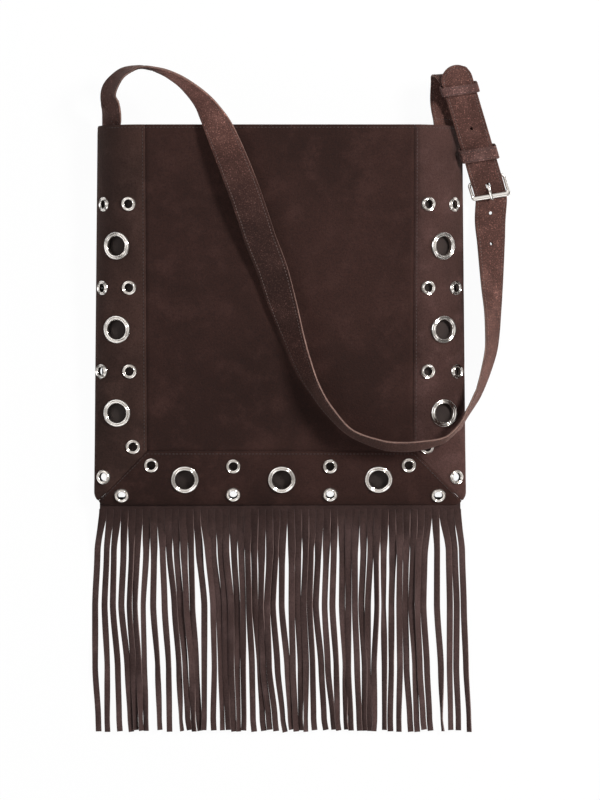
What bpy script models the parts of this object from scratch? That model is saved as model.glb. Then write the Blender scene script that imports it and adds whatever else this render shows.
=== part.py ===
"""Fringed suede shoulder bag with metal eyelets, lying on its back with its strap laid over it.

Metres. +Z points up from the floor the bag lies on, +Y towards the bag's mouth, +X to its right.
The body is a flat bag: a panel framed by three bands in front and the same again behind, sewn
together round the edge, with a comb of fringe caught in the bottom seam.
"""

import math

import bmesh
import bpy
from mathutils import Matrix, Vector

# Body, seen from above. It is a little narrower at the mouth than at the foot.
MOUTH_WIDTH = 0.346
FOOT_WIDTH = 0.353
BODY_HEIGHT = 0.362
BODY_CENTRE_X = -0.0193
FOOT_Y = -0.1020
CORNER_RADIUS = 0.013

# Body, seen from the side. The bag is a wedge, fuller at the mouth.
SEAM_HEIGHT = 0.012
FOOT_RISE = 0.0135
MOUTH_RISE = 0.0445
EDGE_ROLL = 0.042
BACK_ROLL = 0.014
BACK_LIFT = 0.0024
LEFT_FULLNESS = 2.0
RIGHT_FULLNESS = 1.45

# Seams between the panels and the bands round them.
SIDE_SEAM_MOUTH = 0.0452
SIDE_SEAM_FOOT = 0.0500
FOOT_SEAM = 0.0520
PANEL_SAG_MARGIN = 0.012

# Sheets.
LEATHER = 0.0016
FACING = 0.0012
LINING = 0.0008
GAP = 0.0003
FACING_DEPTH = 0.034
LINING_INSET = 0.014
LINING_SETBACK = 0.0038
LINING_NARROWING = 0.024
FACING_SETBACK = 0.0006

# Eyelets. Distances run over the leather from the seam beside the panel.
SMALL_BORE = 0.00375
SMALL_RIM = 0.00725
LARGE_BORE = 0.0090
LARGE_RIM = 0.0135
EYELET_WALL = 0.0006
EYELET_CROWN = 0.0011
EYELET_TAIL = 0.0009
EYELET_SEAT = 0.0005
INNER_ROW = 0.0150
LARGE_ROW = 0.0300
OUTER_ROW = 0.0435
FIRST_PAIR_BELOW_MOUTH = 0.0750
PAIR_PITCH = 0.0795
PAIRS_PER_SIDE = 3
FOOT_LARGE_PITCH = 0.0925
FOOT_INNER_INSET = 0.0375
FOOT_LARGE_INSET = 0.0248
FOOT_OUTER_INSET = 0.0105
CORNER_INNER_INSET = 0.0462
CORNER_OUTER_INSET = 0.0180
CORNER_SPREAD = 0.0088

# Fringe: one sheet, slit into strips.
FRINGE_SHEET = 0.0014
FRINGE_INSET = 0.0058
FRINGE_TUCK = 0.008
FRINGE_HEADER = 0.006
FRINGE_LENGTH = 0.2185
FRINGE_STRIPS = 50
FRINGE_SLOT = 0.0009
FRINGE_DROP_LENGTH = 0.060
FRINGE_FAN = 0.0085
FRINGE_SWAY = 0.0022

# Straps.
STRAP_WIDTH = 0.030
STRAP = 0.0024
LAYER_GAP = 0.0008
STRAP_TUCK = 0.020
LEFT_STRAP_INSET = 0.002
RIGHT_STRAP_INSET = 0.0065
SEAT_CLEARANCE = 0.0008

# Buckle. Its own frame has U up the strap from the pivot bar, W to the right and N outwards.
BUCKLE_OUT = 0.0236
BUCKLE_DOWN = 0.0504
BUCKLE_Z = 0.0145
BUCKLE_HEADING = math.radians(17.2)
STACK_SLOPE = math.radians(18.0)
PIVOT_RADIUS = 0.0015
BAR_SPACING = 0.017
FRONT_BAR_HALF_WIDTH = 0.0026
SIDE_BAR_HALF_WIDTH = 0.0014
FRAME_SIDE_CLEARANCE = 0.0008
FRAME_CORNER = 0.0030
FRAME_LIFT = math.radians(11.5)
PRONG_WIDTH = 0.0028
PRONG_THICKNESS = 0.0020
PRONG_HOLE_U = -0.0058
PRONG_HOLE_LENGTH = 0.0085
PRONG_HOLE_WIDTH = 0.0042
PRONG_SLOT_CLEARANCE = 0.0006
TURNED_END = 0.017
BILLET_LENGTH = 0.1187
HOLE_RADIUS = 0.0020
HOLE_PITCH = 0.030

# Keepers and the short strap's fold.
KEEPER_SHEET = 0.0018
KEEPER_CLEARANCE = 0.0004
FIXED_KEEPER_U = 0.0280
FIXED_KEEPER_WIDTH = 0.0130
SLIDING_KEEPER_U = 0.0946
SLIDING_KEEPER_WIDTH = 0.0090
FOLD_U = 0.1025
FOLD_SHIFT = 0.0090
FOLD_SINK = 0.0007
FOLD_RADIUS = 0.0080

# Facets.
ROLL_STEPS = 6
BACK_STEPS = 3
CORNER_ROWS = (0.0, 0.08, 0.16, 0.26, 1.0)
CORNER_ROWS_END = 0.056
SIDE_STEPS = 7
FOOT_MIDDLE_STEPS = 4
SMALL_SIDES = 8
LARGE_SIDES = 12
STRAP_STEPS_PER_POINT = 3

MOUTH_Y = FOOT_Y + BODY_HEIGHT
HEADER_HALF = FRINGE_SHEET / 2 + GAP
FOOT_STRETCH = FOOT_SEAM / (SIDE_SEAM_FOOT + (SIDE_SEAM_MOUTH - SIDE_SEAM_FOOT) * FOOT_SEAM / BODY_HEIGHT)
UP = Vector((0.0, 0.0, 1.0))

SUEDE_DARK = ((0.035, 0.019, 0.016), 0.95, 0.0)
SUEDE_STRAP = ((0.075, 0.035, 0.028), 0.95, 0.0)
SUEDE_FRINGE = ((0.060, 0.037, 0.034), 0.95, 0.0)
LINING_CLOTH = ((0.020, 0.012, 0.010), 0.90, 0.0)
NICKEL = ((0.80, 0.78, 0.75), 0.18, 1.0)


def remove_start_objects():
    for thing in list(bpy.data.objects):
        bpy.data.objects.remove(thing, do_unlink=True)


def make_material(name, look):
    colour, roughness, metallic = look
    material = bpy.data.materials.new(name)
    material.use_nodes = True
    shader = material.node_tree.nodes["Principled BSDF"]
    shader.inputs["Base Color"].default_value = (*colour, 1.0)
    shader.inputs["Roughness"].default_value = roughness
    shader.inputs["Metallic"].default_value = metallic
    return material


def add_object(name, points, faces, look, matrix=None):
    """A mesh object whose faces all point out of the closed body that they bound."""
    mesh = bpy.data.meshes.new(name)
    mesh.from_pydata([tuple(point) for point in points], [], faces)
    shape = bmesh.new()
    shape.from_mesh(mesh)
    bmesh.ops.recalc_face_normals(shape, faces=shape.faces)
    shape.to_mesh(mesh)
    shape.free()
    thing = bpy.data.objects.new(name, mesh)
    thing.data.materials.append(make_material(name, look))
    if matrix is not None:
        thing.matrix_world = matrix
    bpy.context.scene.collection.objects.link(thing)
    return thing


def blend(start, end, share):
    return start + (end - start) * share


def clamp(value, low, high):
    return max(low, min(high, value))


# The body's wall, in a square plan whose corners are rounded last.
def half_width_at(height):
    return blend(FOOT_WIDTH, MOUTH_WIDTH, height / BODY_HEIGHT) / 2


def side_seam_at(height):
    return blend(SIDE_SEAM_FOOT, SIDE_SEAM_MOUTH, height / BODY_HEIGHT)


def top_at(height):
    return SEAM_HEIGHT + blend(FOOT_RISE, MOUTH_RISE, height / BODY_HEIGHT)


def seam_half_at(height):
    """Half the seam's opening: the fringe's header fills it at the foot, and it closes further up."""
    share = clamp((height - 0.02) / (CORNER_ROWS_END - 0.02), 0.0, 1.0)
    return blend(HEADER_HALF, GAP / 2, share)


def fullness_at(side_inset_left, height):
    """The edge is fuller on the left of the bag than on the right."""
    share = clamp(side_inset_left / (2 * half_width_at(height)), 0.0, 1.0)
    smooth = share * share * (3 - 2 * share)
    return blend(LEFT_FULLNESS, RIGHT_FULLNESS, smooth)


def roll_section(turn, fullness):
    """Share of the roll's depth and of its height at this turn from the edge, 0 to a right angle."""
    power = 2 / fullness
    return 1 - max(math.cos(turn), 0.0) ** power, max(math.sin(turn), 0.0) ** power


def front_wall(turn, height, fullness, depth, opening):
    """Inset and height of the front's wall, moved inwards by depth along its normal."""
    base = SEAM_HEIGHT + opening
    climb = top_at(height) - base

    def on_skin(angle):
        across, up = roll_section(angle, fullness)
        return Vector((EDGE_ROLL * across, base + climb * up))

    skin = on_skin(turn)
    step = 0.02
    along = on_skin(min(turn + step, math.pi / 2)) - on_skin(max(turn - step, 0.0))
    along.normalize()
    return skin + depth * Vector((along.y, -along.x))


def back_wall(turn, depth, opening):
    """Inset and height of the back's wall, moved inwards by depth along its normal."""
    drop = SEAM_HEIGHT - opening - BACK_LIFT
    skin = Vector((BACK_ROLL * (1 - math.cos(turn)), BACK_LIFT + drop * (1 - math.sin(turn))))
    inwards = Vector((drop * math.cos(turn), BACK_ROLL * math.sin(turn))).normalized()
    return skin + depth * inwards


def round_corner(side_inset, foot_inset):
    """Bends the square corner into an arc. Both insets are in the side's measure."""
    near = min(side_inset, foot_inset)
    far = max(side_inset, foot_inset)
    if near >= CORNER_RADIUS or far >= CORNER_RADIUS:
        return side_inset, foot_inset
    turn = math.radians(45) * (CORNER_RADIUS - far) / (CORNER_RADIUS - near)
    radius = CORNER_RADIUS - near
    close = CORNER_RADIUS - radius * math.cos(turn)
    other = CORNER_RADIUS - radius * math.sin(turn)
    return (close, other) if side_inset <= foot_inset else (other, close)


def in_plan(side, side_inset, height, z):
    """World point for an inset from one side, -1 left or 1 right, and a height over the foot edge."""
    inset, foot = round_corner(side_inset, height / FOOT_STRETCH)
    rounded = foot * FOOT_STRETCH
    return Vector((BODY_CENTRE_X + side * (half_width_at(rounded) - inset), FOOT_Y + rounded, z))


def roll_turns(steps):
    return [math.radians(90) * i / steps for i in range(steps + 1)]


def side_columns(face, side, height, depth):
    """Points across a side band at one height: its roll, then its flat up to the panel's seam."""
    fullness = LEFT_FULLNESS if side < 0 else RIGHT_FULLNESS
    opening = seam_half_at(height)
    if face == "front":
        columns = [front_wall(turn, height, fullness, depth, opening) for turn in roll_turns(ROLL_STEPS)]
    else:
        columns = [back_wall(turn, depth, opening) for turn in roll_turns(BACK_STEPS)]
    columns.append(Vector((side_seam_at(height) - GAP / 2, columns[-1].y)))
    return columns


def side_band_grid(face, side, depth):
    """Rows from the mitre to the mouth. The mitre row starts where each column meets the mitre."""
    columns = len(side_columns(face, side, 0.0, depth))
    rows = []
    for share in CORNER_ROWS:
        row = []
        for column in range(columns):
            inset = side_columns(face, side, 0.0, depth)[column].x
            height = blend(inset * FOOT_STRETCH + GAP, CORNER_ROWS_END, share)
            spot = side_columns(face, side, height, depth)[column]
            row.append(in_plan(side, spot.x, height, spot.y))
        rows.append(row)
    for step in range(1, SIDE_STEPS + 1):
        height = blend(CORNER_ROWS_END, BODY_HEIGHT, step / SIDE_STEPS)
        columns = side_columns(face, side, height, depth)
        rows.append([in_plan(side, spot.x, height, spot.y) for spot in columns])
    return rows


def foot_columns(face, side_inset_left, depth):
    """Points across the foot band: inset from the foot edge and height, at one place along it."""
    fullness = fullness_at(side_inset_left, 0.0)
    columns = []
    if face == "front":
        for turn in roll_turns(ROLL_STEPS):
            height = roll_section(turn, fullness)[0] * EDGE_ROLL * FOOT_STRETCH
            spot = front_wall(turn, height, fullness, depth, HEADER_HALF)
            columns.append(Vector((spot.x * FOOT_STRETCH, spot.y)))
        end = FOOT_SEAM - GAP / 2
        columns.append(Vector((end, top_at(end) - depth)))
    else:
        for turn in roll_turns(BACK_STEPS):
            spot = back_wall(turn, depth, HEADER_HALF)
            columns.append(Vector((spot.x * FOOT_STRETCH, spot.y)))
        columns.append(Vector((FOOT_SEAM - GAP / 2, columns[-1].y)))
    return columns


def foot_band_grid(face, depth):
    """Rows from the left mitre to the right one."""
    count = len(foot_columns(face, 0.0, depth))
    rows = []
    for side in (-1, 1):
        shares = CORNER_ROWS if side < 0 else CORNER_ROWS[::-1]
        for share in shares:
            row = []
            for column in range(count):
                from_left = 0.0 if side < 0 else FOOT_WIDTH
                inset = foot_columns(face, from_left, depth)[column].x / FOOT_STRETCH
                along = blend(inset + GAP, CORNER_ROWS_END, share)
                place = along if side < 0 else FOOT_WIDTH - along
                spot = foot_columns(face, place, depth)[column]
                row.append(in_plan(side, along, spot.x, spot.y))
            rows.append(row)
        if side < 0:
            for step in range(1, FOOT_MIDDLE_STEPS):
                share = step / FOOT_MIDDLE_STEPS
                place = blend(CORNER_ROWS_END, FOOT_WIDTH - CORNER_ROWS_END, share)
                middle = foot_columns(face, place, depth)
                rows.append([in_plan(-1, place, spot.x, spot.y) for spot in middle])
    return rows


def sheet_from_grids(outer, inner):
    """Points and faces of a closed sheet between two grids of the same size."""
    rows = len(outer)
    columns = len(outer[0])
    points = [point for row in outer for point in row] + [point for row in inner for point in row]
    shift = rows * columns

    def at(row, column, layer):
        return layer * shift + row * columns + column

    faces = []
    for row in range(rows - 1):
        for column in range(columns - 1):
            corners = ((row, column), (row, column + 1), (row + 1, column + 1), (row + 1, column))
            faces.append([at(r, c, 0) for r, c in corners])
            faces.append([at(r, c, 1) for r, c in reversed(corners)])
    for row in range(rows - 1):
        for column in (0, columns - 1):
            near = [at(row, column, 0), at(row + 1, column, 0)]
            faces.append(near + [at(row + 1, column, 1), at(row, column, 1)])
    for column in range(columns - 1):
        for row in (0, rows - 1):
            near = [at(row, column, 0), at(row, column + 1, 0)]
            faces.append(near + [at(row, column + 1, 1), at(row, column, 1)])
    return points, faces


# Eyelets and the holes that they sit in.
def eyelet_spots():
    """Where the eyelets sit: band, size, inset from that band's edge and place along the band."""
    spots = []
    for side in ("left", "right"):
        for pair in range(PAIRS_PER_SIDE):
            height = BODY_HEIGHT - FIRST_PAIR_BELOW_MOUTH - pair * PAIR_PITCH
            below = height - PAIR_PITCH / 2
            spots.append((side, "small", inset_from_seam(side, INNER_ROW, height), height))
            spots.append((side, "small", inset_from_seam(side, OUTER_ROW, height), height))
            spots.append((side, "large", inset_from_seam(side, LARGE_ROW, below), below))
        for inset in (CORNER_INNER_INSET, CORNER_OUTER_INSET):
            up = inset * FOOT_STRETCH + CORNER_SPREAD
            spots.append((side, "small", inset - CORNER_SPREAD, up))
            in_foot = inset * FOOT_STRETCH - CORNER_SPREAD
            along = inset + CORNER_SPREAD
            spots.append(("foot", "small", in_foot, along if side == "left" else FOOT_WIDTH - along))
    middle = FOOT_WIDTH / 2
    for step in (-1, 0, 1):
        spots.append(("foot", "large", FOOT_LARGE_INSET, middle + step * FOOT_LARGE_PITCH))
    for step in (-1, 1):
        spots.append(("foot", "small", FOOT_INNER_INSET, middle + step * FOOT_LARGE_PITCH / 2))
        spots.append(("foot", "small", FOOT_OUTER_INSET, middle + step * FOOT_LARGE_PITCH / 2))
    return spots


def inset_from_seam(side, distance, height):
    """Inset from the side edge of a point this far over the leather from the panel's seam."""
    columns = side_columns("front", -1 if side == "left" else 1, height, 0.0)
    left = distance
    for start, end in zip(reversed(columns), reversed(columns[:-1])):
        length = (end - start).length
        if left <= length:
            return blend(start.x, end.x, left / length)
        left -= length
    return columns[0].x


def column_points(face, band, inset, along):
    """The two wall corners on either side of this inset, and the share of the way between them."""
    if band == "foot":
        columns = foot_columns(face, along, 0.0)
    else:
        columns = side_columns(face, -1 if band == "left" else 1, along, 0.0)
    for index in range(len(columns) - 1):
        if columns[index + 1].x >= inset:
            break
    span = columns[index + 1].x - columns[index].x
    return index, (inset - columns[index].x) / span


def skin_point(face, band, index, share, along):
    if band == "foot":
        columns = foot_columns(face, along, 0.0)
        spot = columns[index].lerp(columns[index + 1], share)
        return in_plan(-1, along, spot.x, spot.y)
    side = -1 if band == "left" else 1
    columns = side_columns(face, side, along, 0.0)
    spot = columns[index].lerp(columns[index + 1], share)
    return in_plan(side, spot.x, along, spot.y)


def eyelet_matrix(face, band, inset, along):
    """Placement with local Z pointing out of the leather at this place."""
    index, share = column_points(face, band, inset, along)
    centre = skin_point(face, band, index, share, along)
    step = 0.001
    across = skin_point(face, band, index, share + 0.01, along)
    across = across - skin_point(face, band, index, share - 0.01, along)
    down = skin_point(face, band, index, share, along + step)
    down = down - skin_point(face, band, index, share, along - step)
    across.normalize()
    out = across.cross(down).normalized()
    if (out.z < 0) == (face == "front"):
        out = -out
    beside = out.cross(across)
    turn = Matrix((across, beside, out)).transposed()
    return Matrix.Translation(centre) @ turn.to_4x4()


def lathe(profile, sides, closed):
    """Points and faces of a profile of radius and height pairs turned about Z."""
    points = []
    for step in range(sides):
        angle = 2 * math.pi * (step + 0.5) / sides
        points += [Vector((r * math.cos(angle), r * math.sin(angle), z)) for r, z in profile]
    count = len(profile)
    faces = []
    for step in range(sides):
        this = step * count
        after = (step + 1) % sides * count
        for index in range(count if closed else count - 1):
            ahead = (index + 1) % count
            faces.append([this + index, this + ahead, after + ahead, after + index])
    if not closed:
        faces.append([step * count for step in range(sides)])
        faces.append([step * count + count - 1 for step in range(sides)])
    return points, faces


def eyelet_sizes(size):
    """Bore radius, rim radius and facet count."""
    if size == "small":
        return SMALL_BORE, SMALL_RIM, SMALL_SIDES
    return LARGE_BORE, LARGE_RIM, LARGE_SIDES


def eyelet_profile(size):
    """Section of an eyelet: a crowned rim over the leather and a barrel through it."""
    bore, rim, _ = eyelet_sizes(size)
    barrel = bore + EYELET_WALL
    tail = -LEATHER - EYELET_TAIL
    crown = EYELET_SEAT + EYELET_CROWN
    middle = blend(bore, rim, 0.45)
    bead = [(bore, tail), (bore, crown * 0.6), (middle, crown)]
    return bead + [(rim, EYELET_SEAT), (barrel, EYELET_SEAT), (barrel, tail)]


def hole_radius(size):
    bore, _, sides = eyelet_sizes(size)
    return bore + EYELET_WALL + GAP / math.cos(math.pi / sides)


def merged(parts):
    """One set of points and faces from several, each with its own placement."""
    points = []
    faces = []
    for matrix, (part_points, part_faces) in parts:
        start = len(points)
        points += [matrix @ point for point in part_points]
        faces += [[start + index for index in face] for face in part_faces]
    return points, faces


def cut(thing, name, parts, operation="DIFFERENCE"):
    """Cuts or joins the closed parts into an object with a Boolean modifier."""
    points, faces = merged(parts)
    tool = add_object(name, points, faces, SUEDE_DARK)
    tool.hide_render = True
    tool.display_type = "WIRE"
    modifier = thing.modifiers.new(name, "BOOLEAN")
    modifier.operation = operation
    modifier.solver = "EXACT"
    modifier.object = tool


def rod(radius, low, high, sides):
    """A closed prism along Z."""
    return lathe([(radius, low), (radius, high)], sides, closed=False)


def make_bands():
    cut_reach = 4 * LEATHER
    for face in ("front", "back"):
        for band in ("left", "right", "foot"):
            if band == "foot":
                outer = foot_band_grid(face, 0.0)
                inner = foot_band_grid(face, LEATHER)
            else:
                side = -1 if band == "left" else 1
                outer = side_band_grid(face, side, 0.0)
                inner = side_band_grid(face, side, LEATHER)
            points, faces = sheet_from_grids(outer, inner)
            leather = add_object(f"{face}_{band}_band", points, faces, SUEDE_DARK)
            holes = []
            rims = []
            for where, size, inset, along in eyelet_spots():
                if where != band:
                    continue
                place = eyelet_matrix(face, band, inset, along)
                bore, rim, sides = eyelet_sizes(size)
                if face == "back" and size == "small":
                    bead = (blend(bore, rim, 0.45), EYELET_SEAT + EYELET_CROWN)
                    disc = [(rim, -LEATHER / 2), (rim, EYELET_SEAT), bead]
                    rims.append((place, lathe(disc, sides, closed=False)))
                    holes.append((place, rod(bore, -cut_reach, cut_reach, sides)))
                else:
                    holes.append((place, rod(hole_radius(size), -cut_reach, cut_reach, sides)))
            if rims:
                cut(leather, f"{face}_{band}_rims", rims, "UNION")
            cut(leather, f"{face}_{band}_holes", holes)


def make_eyelets():
    for face in ("front", "back"):
        counts = {}
        for band, size, inset, along in eyelet_spots():
            if face == "back" and size == "small":
                continue
            counts[band, size] = counts.get((band, size), 0) + 1
            points, faces = lathe(eyelet_profile(size), eyelet_sizes(size)[2], closed=True)
            name = f"{face}_eyelet_{size}_{band}_{counts[band, size]}"
            add_object(name, points, faces, NICKEL, eyelet_matrix(face, band, inset, along))


# Panels.
def make_panels():
    low = FOOT_SEAM + GAP / 2
    heights = (low, BODY_HEIGHT)
    outer = []
    inner = []
    for height in heights:
        reach = half_width_at(height) - side_seam_at(height) - GAP / 2
        for rows, depth in ((outer, 0.0), (inner, LEATHER)):
            z = top_at(height) - depth
            rows.append([Vector((BODY_CENTRE_X + side * reach, FOOT_Y + height, z)) for side in (-1, 1)])
    points, faces = sheet_from_grids(outer, inner)
    add_object("front_panel", points, faces, SUEDE_DARK)

    outer = []
    inner = []
    for height in (low, low + PANEL_SAG_MARGIN, BODY_HEIGHT):
        reach = half_width_at(height) - side_seam_at(height) - GAP / 2
        for rows, depth in ((outer, 0.0), (inner, LEATHER)):
            row = []
            for x in (-reach, -reach + PANEL_SAG_MARGIN, reach - PANEL_SAG_MARGIN, reach):
                raised = height == low or abs(x) == reach
                lift = BACK_LIFT if raised else 0.0
                row.append(Vector((BODY_CENTRE_X + x, FOOT_Y + height, lift + depth)))
            rows.append(row)
    points, faces = sheet_from_grids(outer, inner)
    add_object("back_panel", points, faces, SUEDE_DARK)


# Mouth facing and lining: loops round the inside of the wall.
def wall_loop(height, depth, least_inset, ceiling=None):
    """Points round the inside of the wall at one height, kept at least this far in from the sides."""
    loop = []
    for side in (-1, 1):
        fullness = LEFT_FULLNESS if side < 0 else RIGHT_FULLNESS
        spots = [back_wall(turn, depth, 0.0) for turn in reversed(roll_turns(BACK_STEPS)[1:])]
        spots += [front_wall(turn, height, fullness, depth, 0.0) for turn in roll_turns(ROLL_STEPS)]
        if side > 0:
            spots.reverse()
        for spot in spots:
            inset = max(spot.x, least_inset)
            z = spot.y if ceiling is None else min(spot.y, ceiling)
            loop.append(in_plan(side, inset, height, z))
    return loop


def tube_between(outer_loops, inner_loops, end_closed):
    """A closed sheet between two stacks of loops, with the last end open or capped."""
    count = len(outer_loops[0])
    points = [point for loop in outer_loops for point in loop]
    shift = len(points)
    points += [point for loop in inner_loops for point in loop]
    faces = []
    last = len(outer_loops) - 1
    for level in range(last):
        for index in range(count):
            after = (index + 1) % count
            this = level * count
            above = this + count
            ring = [this + index, this + after, above + after, above + index]
            faces.append(ring)
            faces.append([shift + corner for corner in reversed(ring)])
    for index in range(count):
        after = (index + 1) % count
        faces.append([index, after, shift + after, shift + index])
        if not end_closed:
            start = last * count
            faces.append([start + index, start + after, shift + start + after, shift + start + index])
    if end_closed:
        faces.append([last * count + index for index in range(count)])
        faces.append([shift + last * count + index for index in range(count)])
    return points, faces


def foot_ceiling(height, depth):
    """Underside of the front wall this high over the foot edge, clear by depth."""
    share = clamp(height / FOOT_STRETCH / EDGE_ROLL, 0.0, 1.0)
    fullness = RIGHT_FULLNESS
    climb = (1 - (1 - share) ** fullness) ** (1 / fullness)
    return blend(SEAM_HEIGHT, top_at(height), climb) - depth * 1.4


def make_mouth_facing():
    depth = LEATHER + FACING_SETBACK
    heights = (BODY_HEIGHT - GAP, BODY_HEIGHT - FACING_DEPTH)
    outer = [wall_loop(height, depth, 0.0) for height in heights]
    inner = [wall_loop(height, depth + FACING, 0.0) for height in heights]
    points, faces = tube_between(outer, inner, end_closed=False)
    add_object("mouth_facing", points, faces, LINING_CLOTH)


def make_lining():
    start = BODY_HEIGHT - FACING_DEPTH - GAP
    narrow = start - LINING_NARROWING
    low = CORNER_ROWS_END
    foot = LINING_INSET * FOOT_STRETCH
    middle = (low + foot) / 2
    levels = (
        (start, LEATHER + FACING_SETBACK, 0.0),
        (narrow, LINING_SETBACK, LINING_INSET),
        (low, LINING_SETBACK, LINING_INSET),
        (middle, LINING_SETBACK, LINING_INSET),
        (foot, LINING_SETBACK, LINING_INSET),
    )
    outer = []
    inner = []
    for height, depth, inset in levels:
        outer.append(wall_loop(height, depth, inset, foot_ceiling(height, depth)))
        inside = height + (LINING if height == foot else 0.0)
        thick = depth + LINING
        inner_inset = inset + (LINING if inset else 0.0)
        inner.append(wall_loop(inside, thick, inner_inset, foot_ceiling(height, thick)))
    points, faces = tube_between(outer, inner, end_closed=True)
    add_object("lining", points, faces, LINING_CLOTH)


# Fringe.
def fringe_sway(x_share, down_share):
    """Sideways shift of a strip: the comb fans out and bends in a slow wave."""
    fan = FRINGE_FAN * x_share * down_share
    wave = FRINGE_SWAY * math.sin(3.6 * down_share + 4.5 * x_share) * down_share
    return fan + wave


def fringe_height(down):
    """Height of the sheet's middle: out of the seam, then down to the floor."""
    share = clamp(down / FRINGE_DROP_LENGTH, 0.0, 1.0)
    ease = share * share * (3 - 2 * share)
    return blend(SEAM_HEIGHT, FRINGE_SHEET / 2, ease)


def make_fringe():
    left = BODY_CENTRE_X - FOOT_WIDTH / 2 + FRINGE_INSET
    width = FOOT_WIDTH - 2 * FRINGE_INSET
    pitch = (width + FRINGE_SLOT) / FRINGE_STRIPS
    edges = []
    for strip in range(FRINGE_STRIPS):
        edges += [left + strip * pitch, left + strip * pitch + pitch - FRINGE_SLOT]
    half = FRINGE_SHEET / 2
    points = []

    def add_row(xs, y, z):
        start = len(points)
        points.extend([Vector((x, y, z + half)) for x in xs] + [Vector((x, y, z - half)) for x in xs])
        return start

    count = len(edges)
    tuck = add_row(edges, FOOT_Y + FRINGE_TUCK, SEAM_HEIGHT)
    root = add_row(edges, FOOT_Y - FRINGE_HEADER, fringe_height(FRINGE_HEADER))
    faces = []
    for index in range(count - 1):
        top = [tuck + index, tuck + index + 1, root + index + 1, root + index]
        faces += [top, [corner + count for corner in reversed(top)]]
        faces.append([tuck + index, tuck + index + 1, tuck + count + index + 1, tuck + count + index])
        if index % 2:
            faces.append([root + index, root + index + 1, root + count + index + 1, root + count + index])
    for index in (0, count - 1):
        faces.append([tuck + index, root + index, root + count + index, tuck + count + index])

    downs = [0.03, 0.055, 0.1, 0.155, 1.0]
    downs = [down if down < 1 else FRINGE_LENGTH for down in downs]
    for strip in range(FRINGE_STRIPS):
        first = root + 2 * strip
        above = [first, first + 1, first + count + 1, first + count]
        pair = edges[2 * strip:2 * strip + 2]
        x_share = (sum(pair) / 2 - BODY_CENTRE_X) / (width / 2)
        for down in downs:
            shift = fringe_sway(x_share, down / FRINGE_LENGTH)
            start = add_row([x + shift for x in pair], FOOT_Y - down, fringe_height(down))
            here = [start, start + 1, start + 3, start + 2]
            for side in range(4):
                after = (side + 1) % 4
                faces.append([above[side], above[after], here[after], here[side]])
            above = here
        faces.append(above)
    add_object("fringe", points, faces, SUEDE_FRINGE)


# Straps: flat ribbons along a smooth line, each point with its own width direction.
def smooth_line(values, steps):
    """A Catmull-Rom curve through the values, each span cut into the same number of steps."""
    padded = [2 * values[0] - values[1], *values, 2 * values[-1] - values[-2]]
    line = []
    for index in range(1, len(padded) - 2):
        a, b, c, d = padded[index - 1:index + 3]
        for step in range(steps):
            t = step / steps
            line.append(0.5 * (2 * b + (c - a) * t + (2 * a - 5 * b + 4 * c - d) * t ** 2 + (3 * b - 3 * c + d - a) * t ** 3))
    line.append(values[-1])
    return line


def ribbon_frames(centres, widths):
    """Centre, width direction and outward normal along a ribbon."""
    frames = []
    for index, centre in enumerate(centres):
        ahead = centres[min(index + 1, len(centres) - 1)] - centres[max(index - 1, 0)]
        ahead.normalize()
        across = widths[index] - widths[index].dot(ahead) * ahead
        across.normalize()
        frames.append((centre, across, across.cross(ahead)))
    return frames


def ribbon(name, frames, half_widths, look):
    points = []
    for (centre, across, normal), half in zip(frames, half_widths):
        for along, out in ((-1, 1), (1, 1), (1, -1), (-1, -1)):
            points.append(centre + along * half * across + out * STRAP / 2 * normal)
    faces = [[0, 1, 2, 3]]
    for index in range(len(frames) - 1):
        for side in range(4):
            after = (side + 1) % 4
            base = 4 * index
            faces.append([base + side, base + after, base + 4 + after, base + 4 + side])
    last = 4 * (len(frames) - 1)
    faces.append([last + side for side in range(4)])
    return add_object(name, points, faces, look)


def strap_seat(side, least_inset, height):
    """Middle and width direction of a strap end laid flat against the inside of the mouth's facing."""
    fullness = LEFT_FULLNESS if side < 0 else RIGHT_FULLNESS
    depth = LEATHER + FACING_SETBACK + FACING + SEAT_CLEARANCE + STRAP / 2
    turns = [math.radians(90) * i / 400 for i in range(401)]
    skin = [front_wall(turn, height, fullness, depth, 0.0) for turn in turns]
    skin.append(Vector((3 * STRAP_WIDTH, skin[-1].y)))
    low = next(spot for spot in skin if spot.x >= least_inset + depth * 0.8)
    outside = [spot for spot in skin if spot.x > low.x]
    for start, end in zip(outside, outside[1:]):
        if (end - low).length >= STRAP_WIDTH:
            break
    share = (STRAP_WIDTH - (start - low).length) / max((end - low).length - (start - low).length, 1e-9)
    high = start.lerp(end, clamp(share, 0.0, 1.0))
    outer = in_plan(side, low.x, height, low.y)
    inner = in_plan(side, high.x, height, high.y)
    return (outer + inner) / 2, (inner - outer).normalized()


def surface_at(x, y):
    """Height of whatever lies under this place: the bag's front, or the floor beside it."""
    height = y - FOOT_Y
    if not 0 <= height <= BODY_HEIGHT:
        return 0.0
    side = -1 if x < BODY_CENTRE_X else 1
    inset = half_width_at(height) - abs(x - BODY_CENTRE_X)
    if inset < 0:
        return 0.0
    fullness = LEFT_FULLNESS if side < 0 else RIGHT_FULLNESS
    share = clamp(min(inset, height / FOOT_STRETCH) / EDGE_ROLL, 0.0, 1.0)
    return blend(SEAM_HEIGHT, top_at(height), (1 - (1 - share) ** fullness) ** (1 / fullness))


def lean_width(heading, lean):
    """Width direction of a strap going this way. Lean 0 is flat with the marked edge on the right
    hand, 90 stands the strap on its other edge, and 180 is flat with the marked edge on the left."""
    right = heading.cross(UP).normalized()
    return math.cos(lean) * right + math.sin(lean) * UP


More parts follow.
